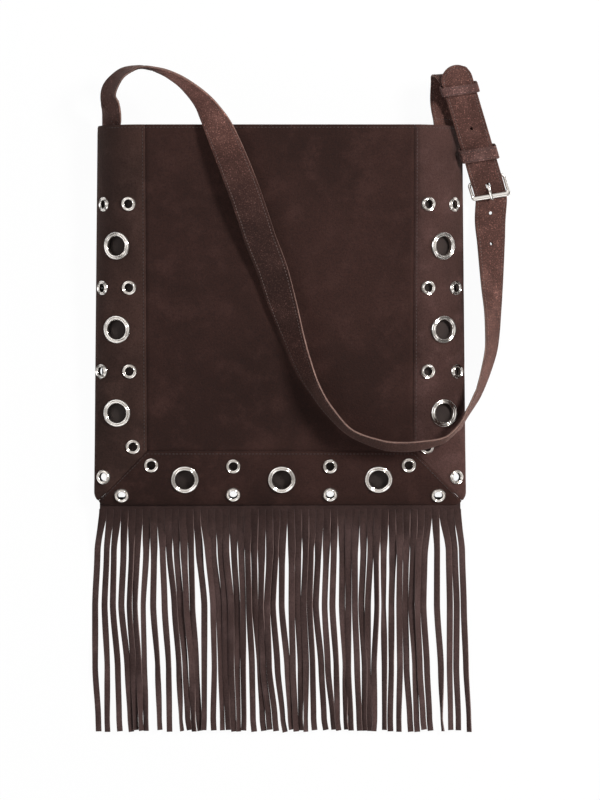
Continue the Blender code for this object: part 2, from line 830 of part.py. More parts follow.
def buckle_matrix():
    """The buckle's own frame: U up the strap, W to the right, N outwards, as X, Y and Z columns."""
    up_strap = Vector((-math.sin(BUCKLE_HEADING), math.cos(BUCKLE_HEADING), 0.0))
    right = Vector((math.cos(BUCKLE_HEADING), math.sin(BUCKLE_HEADING), 0.0))
    along = math.cos(STACK_SLOPE) * up_strap + math.sin(STACK_SLOPE) * UP
    out = right.cross(along)
    corner_x = BODY_CENTRE_X + MOUTH_WIDTH / 2
    place = Vector((corner_x + BUCKLE_OUT, MOUTH_Y - BUCKLE_DOWN, BUCKLE_Z))
    return Matrix.Translation(place) @ Matrix((along, right, out)).transposed().to_4x4()


# The layers at the buckle, as heights in its own frame.
WRAP_RADIUS = PIVOT_RADIUS + GAP + STRAP / 2
RETURN_N = WRAP_RADIUS
BILLET_N = RETURN_N + STRAP + LAYER_GAP
FRONT_BAR_N = BAR_SPACING * math.sin(FRAME_LIFT)
UNDER_BAR_N = FRONT_BAR_N - PIVOT_RADIUS - 2 * GAP - STRAP / 2


def long_strap_points():
    """Centres and width directions: up out of the mouth, over in an arch, down across the front,
    round a loop beside the bag and up through the buckle to the tip."""
    left = BODY_CENTRE_X - MOUTH_WIDTH / 2
    right = BODY_CENTRE_X + FOOT_WIDTH / 2
    # Across from the mouth's left corner, up from the mouth, height over the floor, lean in degrees.
    arch = (
        (0.0098, 0.0143, 0.041, 57),
        (0.0096, 0.0247, 0.043, 61),
        (0.0110, 0.0332, 0.046, 62),
        (0.0153, 0.0418, 0.050, 64),
        (0.0219, 0.0499, 0.054, 67),
        (0.0291, 0.0542, 0.057, 75),
        (0.0390, 0.0558, 0.060, 83),
        (0.0457, 0.0556, 0.062, 90),
        (0.0528, 0.0542, 0.064, 97),
        (0.0666, 0.0486, 0.067, 107),
        (0.0818, 0.0388, 0.070, 117),
        (0.0975, 0.0238, 0.072, 128),
        (0.1079, 0.0086, 0.073, 143),
        (0.1179, -0.0105, 0.072, 162),
        (0.1349, -0.0523, 0.068, 173),
        (0.1467, -0.0855, 0.063, 174),
    )
    # Across from the mouth's left corner, down from the mouth, clearance under it, lean.
    front = (
        (0.1545, 0.1093, 0.0080, 171),
        (0.1657, 0.1378, 0.0050, 163),
        (0.1744, 0.1663, 0.0035, 152),
        (0.1867, 0.2043, 0.0026, 130),
        (0.1978, 0.2347, 0.0024, 119),
        (0.2082, 0.2546, 0.0024, 109),
        (0.2200, 0.2717, 0.0024, 105),
        (0.2400, 0.2921, 0.0024, 101),
    )
    # Across from the foot's right corner, down from the mouth, clearance under it, lean.
    loop = (
        (-0.0810, 0.3035, 0.0024, 105),
        (-0.0620, 0.3059, 0.0028, 106),
        (-0.0430, 0.3047, 0.0032, 105),
        (-0.0240, 0.3007, 0.0040, 99),
        (-0.0145, 0.2950, 0.0055, 95),
        (-0.0050, 0.2850, 0.0075, 95),
        (0.0011, 0.2746, 0.0190, 96),
        (0.0087, 0.2613, 0.0130, 100),
        (0.0135, 0.2518, 0.0090, 102),
        (0.0197, 0.2337, 0.0050, 107),
        (0.0244, 0.2138, 0.0030, 112),
        (0.0257, 0.1948, 0.0022, 117),
        (0.0257, 0.1758, 0.0022, 122),
        (0.0249, 0.1539, 0.0016, 132),
        (0.0239, 0.1140, 0.0012, 150),
        (0.0232, 0.0903, 0.0012, 168),
    )
    # Along the strap and outwards, in the buckle's own frame.
    buckle = (
        (-BAR_SPACING - 0.0050, UNDER_BAR_N - 0.0002),
        (-BAR_SPACING, UNDER_BAR_N),
        (-BAR_SPACING + 0.0035, UNDER_BAR_N + 0.0008),
        (-0.0085, blend(UNDER_BAR_N, BILLET_N, 0.58)),
        (-0.0045, BILLET_N - 0.0006),
        (0.0, BILLET_N),
        (0.010, BILLET_N),
        (BILLET_LENGTH / 2, BILLET_N),
        (BILLET_LENGTH - STRAP_WIDTH / 2, BILLET_N),
    )
    seats = [strap_seat(-1, LEFT_STRAP_INSET, height) for height in (BODY_HEIGHT - STRAP_TUCK, BODY_HEIGHT)]
    centres = [seat[0] for seat in seats]
    widths = [seat[1] for seat in seats]
    leans = []
    for across, up, z, lean in arch:
        centres.append(Vector((left + across, MOUTH_Y + up, z)))
        leans.append(lean)
    for start_x, stations in ((left, front), (right, loop)):
        for across, down, clear, lean in stations:
            x = start_x + across
            y = MOUTH_Y - down
            turn = math.radians(lean)
            half = STRAP_WIDTH / 2 * abs(math.sin(turn)) + STRAP / 2 * abs(math.cos(turn))
            centres.append(Vector((x, y, surface_at(x, y) + half + clear)))
            leans.append(lean)
    place = buckle_matrix()
    for along, out in buckle:
        centres.append(place @ Vector((along, 0.0, out)))
    for index, lean in enumerate(leans, start=len(seats)):
        heading = centres[index + 1] - centres[index - 1]
        widths.append(lean_width(heading, math.radians(lean)))
    to_left = -place.to_3x3().col[1]
    widths += [to_left] * len(buckle)
    return centres, widths, len(buckle)


def make_long_strap():
    centres, widths, at_buckle = long_strap_points()
    smooth = smooth_line(centres, STRAP_STEPS_PER_POINT)
    smooth_widths = smooth_line(widths, STRAP_STEPS_PER_POINT)
    place = buckle_matrix()
    halves = [STRAP_WIDTH / 2] * len(smooth)
    for turn in (20, 40, 60, 78):
        along = BILLET_LENGTH - STRAP_WIDTH / 2 * (1 - math.sin(math.radians(turn)))
        smooth.append(place @ Vector((along, 0.0, BILLET_N)))
        smooth_widths.append(widths[-1])
        halves.append(STRAP_WIDTH / 2 * math.cos(math.radians(turn)))
    frames = ribbon_frames(smooth, smooth_widths)
    strap = ribbon("long_strap", frames, halves, SUEDE_STRAP)

    reach = 3 * STRAP
    holes = []
    for step in (1, 2):
        spot = Matrix.Translation((PRONG_HOLE_U + step * HOLE_PITCH, 0.0, BILLET_N))
        holes.append((place @ spot, rod(HOLE_RADIUS, -reach, reach, SMALL_SIDES)))
    hole_start = frame_near(frames, place @ Vector((PRONG_HOLE_U, 0.0, BILLET_N)))
    for step in (1, 2):
        centre, across, normal = frame_before(frames, hole_start, step * HOLE_PITCH)
        turn = Matrix((across, normal.cross(across), normal)).transposed().to_4x4()
        holes.append((Matrix.Translation(centre) @ turn, rod(HOLE_RADIUS, -reach, reach, SMALL_SIDES)))
    oval = Matrix.Diagonal((PRONG_HOLE_LENGTH / PRONG_HOLE_WIDTH, 1.0, 1.0, 1.0))
    centre, across, normal = frames[hole_start]
    turn = Matrix((normal.cross(across), -across, normal)).transposed().to_4x4()
    prong_hole = Matrix.Translation(centre) @ turn @ oval
    holes.append((prong_hole, rod(PRONG_HOLE_WIDTH / 2, -reach, reach, SMALL_SIDES)))
    cut(strap, "long_strap_holes", holes)


def frame_near(frames, point):
    """Index of the frame closest to a point."""
    return min(range(len(frames)), key=lambda index: (frames[index][0] - point).length)


def frame_before(frames, index, distance):
    """The frame this far back along the ribbon, measured over it."""
    left = distance
    while left > 0:
        step = (frames[index][0] - frames[index - 1][0]).length
        if step >= left:
            share = left / step
            return tuple(here.lerp(back, share) for here, back in zip(frames[index], frames[index - 1]))
        left -= step
        index -= 1
    return frames[index]


def short_strap_points():
    """Centres and width directions: out of the mouth, over the fold, down to the buckle's pivot
    bar, round it and a little way back underneath."""
    place = buckle_matrix()
    to_right = place.to_3x3().col[1]
    seats = [strap_seat(1, RIGHT_STRAP_INSET, height) for height in (BODY_HEIGHT - STRAP_TUCK, BODY_HEIGHT)]
    centres = [seat[0] for seat in seats]
    widths = [-seat[1] for seat in seats]
    fold_end = place @ Vector((FOLD_U, -FOLD_SHIFT, RETURN_N - 2 * FOLD_RADIUS))
    level = Vector((1.0, 0.08, 0.0)).normalized()
    for share in (0.35, 0.7):
        centres.append(centres[1].lerp(fold_end, share))
        widths.append(widths[1].lerp(level, min(1.0, share * 1.3)))
    for turn in (0, 45, 90, 135, 180):
        angle = math.radians(turn)
        along = FOLD_U + FOLD_RADIUS * math.sin(angle)
        out = RETURN_N - FOLD_SINK - FOLD_RADIUS * (1 + math.cos(angle))
        sideways = -FOLD_SHIFT * (1 + math.cos(angle)) / 2
        centres.append(place @ Vector((along, sideways, out)))
        widths.append(level.lerp(to_right, min(1.0, turn / 110)))
    flat = [(FOLD_U - STRAP, RETURN_N), (FOLD_U * 0.72, RETURN_N)]
    flat += [(FOLD_U * 0.4, RETURN_N), (0.008, RETURN_N)]
    wrap = []
    for turn in (90, 126, 162, 198, 234, 270):
        angle = math.radians(turn)
        wrap.append((WRAP_RADIUS * math.cos(angle), WRAP_RADIUS * math.sin(angle)))
    under = [(TURNED_END * 0.5, -WRAP_RADIUS * 0.5), (TURNED_END, RETURN_N - STRAP - GAP)]
    for along, out in flat + wrap + under:
        centres.append(place @ Vector((along, 0.0, out)))
        widths.append(to_right)
    return centres, widths


def make_short_strap():
    centres, widths = short_strap_points()
    steps = STRAP_STEPS_PER_POINT - 1
    frames = ribbon_frames(smooth_line(centres, steps), smooth_line(widths, steps))
    strap = ribbon("short_strap", frames, [STRAP_WIDTH / 2] * len(frames), SUEDE_STRAP)
    slot_half = PRONG_WIDTH / 2 + PRONG_SLOT_CLEARANCE
    reach = WRAP_RADIUS + STRAP
    ends = (-reach, reach)
    points = [Vector((u, w, n)) for u in ends for w in (-slot_half, slot_half) for n in ends]
    faces = [[0, 1, 3, 2], [4, 6, 7, 5], [0, 4, 5, 1], [2, 3, 7, 6], [0, 2, 6, 4], [1, 5, 7, 3]]
    cut(strap, "short_strap_slot", [(buckle_matrix(), (points, faces))])


# Keepers: flat loops round the strap's layers.
def keeper_points(centre_u, width):
    """A loop with cut corners round the return and the billet, in the buckle's own frame."""
    inner_w = STRAP_WIDTH / 2 + KEEPER_CLEARANCE
    low = RETURN_N - STRAP / 2 - KEEPER_CLEARANCE
    high = BILLET_N + STRAP / 2 + KEEPER_CLEARANCE
    cut_corner = 0.6 * KEEPER_SHEET
    inner = [(-inner_w, low), (inner_w, low), (inner_w, high), (-inner_w, high)]
    outer_w = inner_w + KEEPER_SHEET
    under = low - KEEPER_SHEET
    over = high + KEEPER_SHEET
    outer = [
        (-outer_w + cut_corner, under), (outer_w - cut_corner, under),
        (outer_w, under + cut_corner), (outer_w, over - cut_corner),
        (outer_w - cut_corner, over), (-outer_w + cut_corner, over),
        (-outer_w, over - cut_corner), (-outer_w, under + cut_corner),
    ]
    inner = [inner[0], inner[1], inner[1], inner[2], inner[2], inner[3], inner[3], inner[0]]
    nudge = 0.2 * KEEPER_SHEET
    shifts = [(nudge, 0), (-nudge, 0), (0, nudge), (0, -nudge)]
    shifts += [(-nudge, 0), (nudge, 0), (0, -nudge), (0, nudge)]
    inner = [(w + dw, n + dn) for (w, n), (dw, dn) in zip(inner, shifts)]
    points = []
    for along in (centre_u - width / 2, centre_u + width / 2):
        points += [Vector((along, w, n)) for w, n in outer + inner]
    faces = []
    for index in range(8):
        after = (index + 1) % 8
        faces.append([index, after, after + 16, index + 16])
        faces.append([index + 8, after + 8, after + 24, index + 24])
        faces.append([index, after, after + 8, index + 8])
        faces.append([index + 16, after + 16, after + 24, index + 24])
    return points, faces


def make_keepers():
    place = buckle_matrix()
    points, faces = keeper_points(FIXED_KEEPER_U, FIXED_KEEPER_WIDTH)
    add_object("keeper_fixed", points, faces, SUEDE_STRAP, place)
    points, faces = keeper_points(0.0, SLIDING_KEEPER_WIDTH)
    seat = Matrix.Translation((SLIDING_KEEPER_U, 0.0, 0.0))
    add_object("keeper_sliding", points, faces, SUEDE_STRAP, place @ seat)


# Buckle.
def frame_path():
    """The frame's centre line in its own plane, round its four corners from the pivot bar."""
    inner_w = STRAP_WIDTH / 2 + FRAME_SIDE_CLEARANCE
    side_w = inner_w + SIDE_BAR_HALF_WIDTH
    path = []
    corners = ((0.0, side_w, 0), (-BAR_SPACING, side_w, 90))
    corners += ((-BAR_SPACING, -side_w, 180), (0.0, -side_w, 270))
    for u, w, start in corners:
        middle_u = u + (-FRAME_CORNER if u == 0.0 else FRAME_CORNER)
        middle_w = w - math.copysign(FRAME_CORNER, w)
        for turn in (0, 45, 90):
            angle = math.radians(start + turn)
            u = middle_u + FRAME_CORNER * math.cos(angle)
            path.append((u, middle_w + FRAME_CORNER * math.sin(angle)))
    return path


def make_buckle_frame():
    path = frame_path()
    count = len(path)
    sides = 8
    front_edge = -BAR_SPACING + FRAME_CORNER / 2
    points = []
    for index, (u, w) in enumerate(path):
        before = Vector(path[index - 1])
        after = Vector(path[(index + 1) % count])
        along = (after - before).normalized()
        outwards = Vector((along.y, -along.x))
        half = FRONT_BAR_HALF_WIDTH if u < front_edge else SIDE_BAR_HALF_WIDTH
        for step in range(sides):
            angle = 2 * math.pi * step / sides
            side = half * math.cos(angle) * outwards
            points.append(Vector((u + side.x, w + side.y, PIVOT_RADIUS * math.sin(angle))))
    faces = []
    for index in range(count):
        ahead = (index + 1) % count
        for step in range(sides):
            after = (step + 1) % sides
            near = [index * sides + step, index * sides + after]
            faces.append(near + [ahead * sides + after, ahead * sides + step])
    lift = Matrix.Rotation(FRAME_LIFT, 4, "Y")
    add_object("buckle_frame", points, faces, NICKEL, buckle_matrix() @ lift)


def make_prong():
    """A bar with a ring round the pivot bar at one end and its tip on the frame's front bar."""
    inner = PIVOT_RADIUS + GAP
    outer = inner + PRONG_THICKNESS * 0.7
    half = PRONG_THICKNESS / 2
    tip_n = FRONT_BAR_N + PIVOT_RADIUS + GAP + half
    centre = [(-0.0030, outer - half + 0.0008), (-0.0062, 0.0051), (-0.0100, tip_n + 0.0004)]
    centre += [(-BAR_SPACING, tip_n), (-BAR_SPACING - 0.0030, tip_n - 0.0008)]
    top = []
    bottom = []
    for index, (u, n) in enumerate(centre):
        before = Vector(centre[max(index - 1, 0)])
        after = Vector(centre[min(index + 1, len(centre) - 1)])
        along = (after - before).normalized()
        normal = Vector((along.y, -along.x))
        size = half if index < len(centre) - 1 else half * 0.5
        top.append(Vector((u, n)) + size * normal)
        bottom.append(Vector((u, n)) - size * normal)
    ring = []
    for turn in range(150, -181, -30):
        angle = math.radians(turn)
        ring.append(Vector((outer * math.cos(angle), outer * math.sin(angle))))
    turns = [math.radians(a) for a in range(0, 360, 36)]
    hole = [Vector((inner * math.cos(turn), inner * math.sin(turn))) for turn in turns]
    outline = [point for point in ring if not (point.x < -0.0005 and point.y > 0.2 * outer)]
    outline = order_outline(outline, top, bottom)
    bar = prism(outline, PRONG_WIDTH)
    bore = prism(hole, 2 * PRONG_WIDTH)
    points, faces = bar
    prong = add_object("buckle_prong", points, faces, NICKEL, buckle_matrix())
    cut(prong, "buckle_prong_bore", [(buckle_matrix(), bore)])


def order_outline(ring, top, bottom):
    """The prong's outline: out along its top, back along its underside and round the ring."""
    above = sorted((point for point in ring if point.y > 0), key=lambda point: point.x)
    below = sorted((point for point in ring if point.y <= 0), key=lambda point: -point.x)
    return top[::-1] + above + below + bottom


def prism(outline, width):
    """A closed slab of this outline in U and N, centred across W."""
    count = len(outline)
    points = [Vector((spot.x, w, spot.y)) for w in (-width / 2, width / 2) for spot in outline]
    faces = [list(range(count)), [count + index for index in reversed(range(count))]]
    for index in range(count):
        after = (index + 1) % count
        faces.append([index, after, count + after, count + index])
    return points, faces


def make_part():
    remove_start_objects()
    make_panels()
    make_bands()
    make_mouth_facing()
    make_lining()
    make_fringe()
    make_long_strap()
    make_short_strap()
    make_keepers()
    make_buckle_frame()
    make_prong()
    make_eyelets()


make_part()
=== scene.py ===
"""Fringed suede shoulder bag with metal eyelets, spread flat on its back and seen from above.

Metres. +Z points up from the floor, +Y towards the bag's mouth, +X to the side with the buckle.
"""

import math
import random

import bmesh
import bpy
import numpy as np
from mathutils import Matrix, Vector, noise


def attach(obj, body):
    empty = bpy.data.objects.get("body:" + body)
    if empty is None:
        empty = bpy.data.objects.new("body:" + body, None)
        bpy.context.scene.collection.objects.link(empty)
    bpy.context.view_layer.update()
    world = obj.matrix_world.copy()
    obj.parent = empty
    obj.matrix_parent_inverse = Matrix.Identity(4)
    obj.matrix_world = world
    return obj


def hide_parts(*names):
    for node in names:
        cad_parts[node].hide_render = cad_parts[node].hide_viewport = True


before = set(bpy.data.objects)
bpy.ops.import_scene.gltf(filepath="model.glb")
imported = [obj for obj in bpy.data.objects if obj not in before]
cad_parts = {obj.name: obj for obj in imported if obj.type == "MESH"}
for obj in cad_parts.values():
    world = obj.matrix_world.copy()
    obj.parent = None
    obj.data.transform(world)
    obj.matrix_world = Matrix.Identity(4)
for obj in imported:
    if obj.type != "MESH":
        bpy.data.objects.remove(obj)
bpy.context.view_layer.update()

# The studio: a pale floor under the bag, a camera high above it that looks straight down, a soft
# key light from the upper right, and weaker lamps from the left, the foot and the right side.
CAMERA_HEIGHT = 6.0
SCALE_PLANE = 0.045
PICTURE_HEIGHT = 0.760
PICTURE_CENTRE = (-0.0003, -0.0013)
SENSOR = 36.0

camera = bpy.data.objects.new("camera", bpy.data.cameras.new("camera"))
camera.data.sensor_width = SENSOR
camera.data.lens = SENSOR * (CAMERA_HEIGHT - SCALE_PLANE) / PICTURE_HEIGHT
camera.data.clip_end = 50.0
camera.location = (*PICTURE_CENTRE, CAMERA_HEIGHT)
bpy.context.scene.collection.objects.link(camera)
bpy.context.scene.camera = camera
bpy.context.scene.view_settings.view_transform = "Standard"


def soft_lamp(name, place, size, power, tint):
    """A square area lamp that points at the middle of the bag."""
    lamp = bpy.data.objects.new(name, bpy.data.lights.new(name, "AREA"))
    lamp.data.size = size
    lamp.data.energy = power
    lamp.data.color = tint
    lamp.location = place
    lamp.rotation_euler = (-Vector(place)).to_track_quat("-Z", "Y").to_euler()
    bpy.context.scene.collection.objects.link(lamp)
    return lamp


soft_lamp("key_lamp", (1.25, 0.75, 1.60), 0.45, 42.0, (1.0, 0.985, 0.965))
soft_lamp("fill_lamp", (-1.40, 0.50, 1.70), 1.40, 12.0, (0.97, 0.985, 1.0))
soft_lamp("foot_lamp", (0.20, -1.70, 1.50), 1.20, 6.0, (1.0, 1.0, 1.0))
soft_lamp("side_lamp", (1.70, -0.10, 0.42), 0.70, 17.0, (1.0, 0.96, 0.94)).visible_glossy = False


def shader_node(tree, kind, values=None, **settings):
    """A node with its settings made and its input values set by socket name or number."""
    node = tree.nodes.new(kind)
    for setting, value in settings.items():
        setattr(node, setting, value)
    for socket, value in (values or {}).items():
        node.inputs[socket].default_value = value
    return node


def studio_shell(tree, lit_shader, share, output):
    """Shows white to the camera, and the lit shader to all other light."""
    path = shader_node(tree, "ShaderNodeLightPath")
    amount = shader_node(tree, "ShaderNodeMath", {1: share}, operation="MULTIPLY")
    tree.links.new(path.outputs["Is Camera Ray"], amount.inputs[0])
    kind = "ShaderNodeBackground" if output.bl_idname == "ShaderNodeOutputWorld" else "ShaderNodeEmission"
    white = shader_node(tree, kind, {"Color": (1.0, 1.0, 1.0, 1.0), "Strength": 1.0})
    mix = shader_node(tree, "ShaderNodeMixShader")
    tree.links.new(amount.outputs[0], mix.inputs[0])
    tree.links.new(lit_shader.outputs[0], mix.inputs[1])
    tree.links.new(white.outputs[0], mix.inputs[2])
    tree.links.new(mix.outputs[0], output.inputs["Surface"])


# What the metal mirrors, by how steeply the ray rises: dim walls with pale cards over them. The
# ramp keeps its own black end for rays that point down and its white end for those straight up.
CARDS = ((0.0, 0.20), (0.35, 0.14), (0.56, 0.17), (0.66, 0.72), (0.80, 0.33), (0.90, 0.46), (0.96, 0.95))

world = bpy.data.worlds.new("studio")
world.use_nodes = True
sky = world.node_tree
sky.nodes.clear()
room = shader_node(sky, "ShaderNodeBackground", {"Color": (0.95, 0.97, 1.0, 1.0), "Strength": 0.27})
cards = shader_node(sky, "ShaderNodeValToRGB")
for rise, grey in CARDS:
    stop = cards.color_ramp.elements.new(rise)
    stop.color = (grey, 0.97 * grey, 0.94 * grey, 1.0)
ray = shader_node(sky, "ShaderNodeTexCoord")
ray_parts = shader_node(sky, "ShaderNodeSeparateXYZ")
sky.links.new(ray.outputs["Generated"], ray_parts.inputs[0])
sky.links.new(ray_parts.outputs["Z"], cards.inputs[0])
card_light = shader_node(sky, "ShaderNodeBackground", {"Strength": 1.0})
sky.links.new(cards.outputs[0], card_light.inputs["Color"])
by_ray = shader_node(sky, "ShaderNodeMixShader")
sky.links.new(shader_node(sky, "ShaderNodeLightPath").outputs["Is Glossy Ray"], by_ray.inputs[0])
sky.links.new(room.outputs[0], by_ray.inputs[1])
sky.links.new(card_light.outputs[0], by_ray.inputs[2])
studio_shell(sky, by_ray, 1.0, shader_node(sky, "ShaderNodeOutputWorld"))
bpy.context.scene.world = world

FLOOR_REACH = 9.0
FLOOR_Z = -0.0004
floor_paint = bpy.data.materials.new("pale_floor")
floor_paint.use_nodes = True
floor_tree = floor_paint.node_tree
floor_tree.nodes.clear()
floor_lit = shader_node(floor_tree, "ShaderNodeBsdfDiffuse", {"Color": (0.86, 0.86, 0.86, 1.0)})
studio_shell(floor_tree, floor_lit, 0.96, shader_node(floor_tree, "ShaderNodeOutputMaterial"))
corners = [(FLOOR_REACH * x, FLOOR_REACH * y, FLOOR_Z) for x, y in ((-1, -1), (1, -1), (1, 1), (-1, 1))]
floor_mesh = bpy.data.meshes.new("floor")
floor_mesh.from_pydata(corners, [], [(0, 1, 2, 3)])
floor_mesh.materials.append(floor_paint)
floor = bpy.data.objects.new("floor", floor_mesh)
bpy.context.scene.collection.objects.link(floor)

# The bag's body: a panel framed by three bands in front and the same behind, all of dark brown
# suede 1.6 mm thick. The bands meet in mitre seams at the lower corners and are sewn to each other
# round the edge, so the bag is a flat wedge that is fuller at its mouth.
MOUTH_WIDTH = 0.349
FOOT_WIDTH = 0.356
BODY_HEIGHT = 0.362
BODY_CENTRE_X = -0.0193
FOOT_Y = -0.1020
MOUTH_Y = FOOT_Y + BODY_HEIGHT
CORNER_RADIUS = 0.013
SEAM_HEIGHT = 0.012
FOOT_RISE = 0.0135
MOUTH_RISE = 0.0445
EDGE_ROLL = 0.042
BACK_ROLL = 0.014
BACK_LIFT = 0.0024
LEFT_FULLNESS = 2.0
RIGHT_FULLNESS = 1.45
SIDE_SEAM_MOUTH = 0.0467
SIDE_SEAM_FOOT = 0.0515
FOOT_SEAM = 0.0520
SEAM_SET_BACK = 0.00015
MITRE_GAP = 1.4 * SEAM_SET_BACK
LEATHER = 0.0016
HEADER_HALF = 0.0010
CORNER_END = 0.078
CELL = 0.0016


def blend(start, end, share):
    """The value this share of the way from start to end."""
    return start + (end - start) * share


def smooth(value, low, high):
    """0 below low, 1 above high and an eased rise between them."""
    share = max(0.0, min(1.0, (value - low) / (high - low)))
    return share * share * (3 - 2 * share)


def bell(distance, width):
    """1 at no distance, and down to nothing a few widths away."""
    return math.exp(-(distance / width) ** 2)


def half_width_at(height):
    """Half the body's width this high over its foot edge."""
    return blend(FOOT_WIDTH, MOUTH_WIDTH, height / BODY_HEIGHT) / 2


def side_seam_at(height):
    """Inset of the seam between side band and panel."""
    return blend(SIDE_SEAM_FOOT, SIDE_SEAM_MOUTH, height / BODY_HEIGHT)


FOOT_STRETCH = FOOT_SEAM / side_seam_at(FOOT_SEAM)


def top_at(height):
    """Height of the front over the floor, away from its edges."""
    return SEAM_HEIGHT + blend(FOOT_RISE, MOUTH_RISE, height / BODY_HEIGHT)


def seam_half_at(height):
    """Half the edge seam's opening: the fringe's header fills it at the foot, and it closes above."""
    return blend(HEADER_HALF, SEAM_SET_BACK, max(0.0, min(1.0, (height - 0.02) / 0.036)))


def fullness_at(along):
    """The edge rolls over more fully on the bag's left than on its right."""
    return blend(LEFT_FULLNESS, RIGHT_FULLNESS, smooth(along, 0.0, FOOT_WIDTH))


def skin_height(face, inset, height, fullness, opening):
    """Height of the leather's outside this far in from the body's edge."""
    if face == "back":
        share = min(inset / BACK_ROLL, 1.0)
        drop = SEAM_HEIGHT - opening - BACK_LIFT
        return BACK_LIFT + drop * (1 - math.sqrt(1 - (1 - share) ** 2))
    share = min(inset / EDGE_ROLL, 1.0)
    base = SEAM_HEIGHT + opening
    return base + (top_at(height) - base) * (1 - (1 - share) ** fullness) ** (1 / fullness)


def in_plan(side, inset, height, z):
    """World point for an inset from one side, -1 left or 1 right, with the square corner rounded."""
    foot = height / FOOT_STRETCH
    near = min(inset, foot)
    far = max(inset, foot)
    if far < CORNER_RADIUS:
        turn = math.radians(45) * (CORNER_RADIUS - far) / (CORNER_RADIUS - near)
        radius = CORNER_RADIUS - near
        close = CORNER_RADIUS - radius * math.cos(turn)
        other = CORNER_RADIUS - radius * math.sin(turn)
        inset, foot = (close, other) if inset <= foot else (other, close)
    height = foot * FOOT_STRETCH
    return Vector((BODY_CENTRE_X + side * (half_width_at(height) - inset), FOOT_Y + height, z))


def skin(face, band, inset, along):
    """A point of the leather's outside: inset from that band's edge, then the place along it."""
    if band == "foot":
        side = -1 if along < FOOT_WIDTH / 2 else 1
        fullness = fullness_at(along)
        z = skin_height(face, inset, inset * FOOT_STRETCH, fullness, HEADER_HALF)
        height = inset * FOOT_STRETCH
        across = min(along, FOOT_WIDTH - along) * half_width_at(height) * 2 / FOOT_WIDTH
        return in_plan(side, across, height, z)
    fullness = LEFT_FULLNESS if band == "left" else RIGHT_FULLNESS
    z = skin_height(face, inset, along, fullness, seam_half_at(along))
    return in_plan(-1 if band == "left" else 1, inset, along, z)


def band_insets(face, seam_inset):
    """Insets across a band: closely set at the edge seam, over the roll and at the panel's seam."""
    fullness = 2.0 if face == "back" else 1.7
    roll = BACK_ROLL if face == "back" else EDGE_ROLL
    steps = 14 if face == "back" else 34
    insets = []
    for i in range(steps):
        insets.append(roll * (1 - math.cos(math.radians(90 * i / steps)) ** (2 / fullness)))
    flat = seam_inset - SEAM_SET_BACK - roll
    count = max(8, round(flat / CELL))
    for i in range(count + 1):
        share = i / count
        insets.append(roll + flat * (0.55 * share + 0.45 * math.sin(share * math.pi / 2)))
    return insets


def band_skin(face, band):
    """Insets and places along for a band's outside, in rows from mitre to mouth or to mitre."""
    corner = [0.0, 0.006, 0.015, 0.03, 0.05] + [0.08 + 0.92 * i / 30 for i in range(31)]
    rows = []
    if band == "foot":
        insets = band_insets(face, FOOT_SEAM / FOOT_STRETCH)
        for share in corner:
            rows.append([(inset, blend(inset + MITRE_GAP, CORNER_END, share)) for inset in insets])
        middle = round((FOOT_WIDTH - 2 * CORNER_END) / CELL)
        for i in range(1, middle):
            along = blend(CORNER_END, FOOT_WIDTH - CORNER_END, i / middle)
            rows.append([(inset, along) for inset in insets])
        for row in reversed(rows[:len(corner)]):
            rows.append([(inset, FOOT_WIDTH - along) for inset, along in row])
        return rows

    roll = BACK_ROLL if face == "back" else EDGE_ROLL
    foot_seam = side_seam_at(FOOT_SEAM)
    insets = band_insets(face, foot_seam)

    def drawn_in(inset, seam):
        """The flat of the band, past its roll, is drawn in as its seam comes nearer the edge."""
        return inset if inset <= roll else roll + (inset - roll) * (seam - roll) / (foot_seam - roll)

    for share in corner:
        seam = blend(foot_seam, side_seam_at(CORNER_END), share)
        rows.append([])
        for inset in insets:
            height = blend(inset * FOOT_STRETCH + MITRE_GAP, CORNER_END, share)
            rows[-1].append((drawn_in(inset, seam), height))
    straight = BODY_HEIGHT - CORNER_END
    heights = [CORNER_END + CELL * i for i in range(1, int((straight - 0.004) / CELL))]
    heights += [BODY_HEIGHT - drop for drop in (0.0032, 0.0024, 0.0016, 0.0010, 0.0005, 0.0)]
    for height in heights:
        rows.append([(drawn_in(inset, side_seam_at(height)), height) for inset in insets])
    return rows


# Where the eyelets sit, by distance over the leather from the panel's seam: pairs of small ones
# with a large one between, three large ones along the foot, and four small ones at each corner.
SMALL_BORE = 0.00375
SMALL_RIM = 0.00725
LARGE_BORE = 0.0090
LARGE_RIM = 0.0135
EYELET_WALL = 0.0006
INNER_ROW = 0.0150
LARGE_ROW = 0.0300
OUTER_ROW = 0.0435
FIRST_PAIR_BELOW_MOUTH = 0.0750
PAIR_PITCH = 0.0795
FOOT_LARGE_PITCH = 0.0925
FOOT_INNER_INSET = 0.0375
FOOT_LARGE_INSET = 0.0248
FOOT_OUTER_INSET = 0.0105
CORNER_INNER_INSET = 0.0462
CORNER_OUTER_INSET = 0.0180
CORNER_SPREAD = 0.0088


def inset_over_leather(band, distance, height):
    """Inset of a point this far over the front's leather from the panel's seam."""
    last = skin("front", band, side_seam_at(height), height)
    inset = side_seam_at(height)
    step = 0.0002
    while distance > 0 and inset > step:
        inset -= step
        here = skin("front", band, inset, height)
        distance -= (here - last).length
        last = here
    return inset


# How far outwards the inner, outer and large eyelets of each side stand from the even pattern.
ROW_SHIFTS = {"left": (0.0012, 0.0023, -0.0013), "right": (-0.0011, 0.0021, 0.0004)}
FOOT_ROW_SHIFT = 0.0016


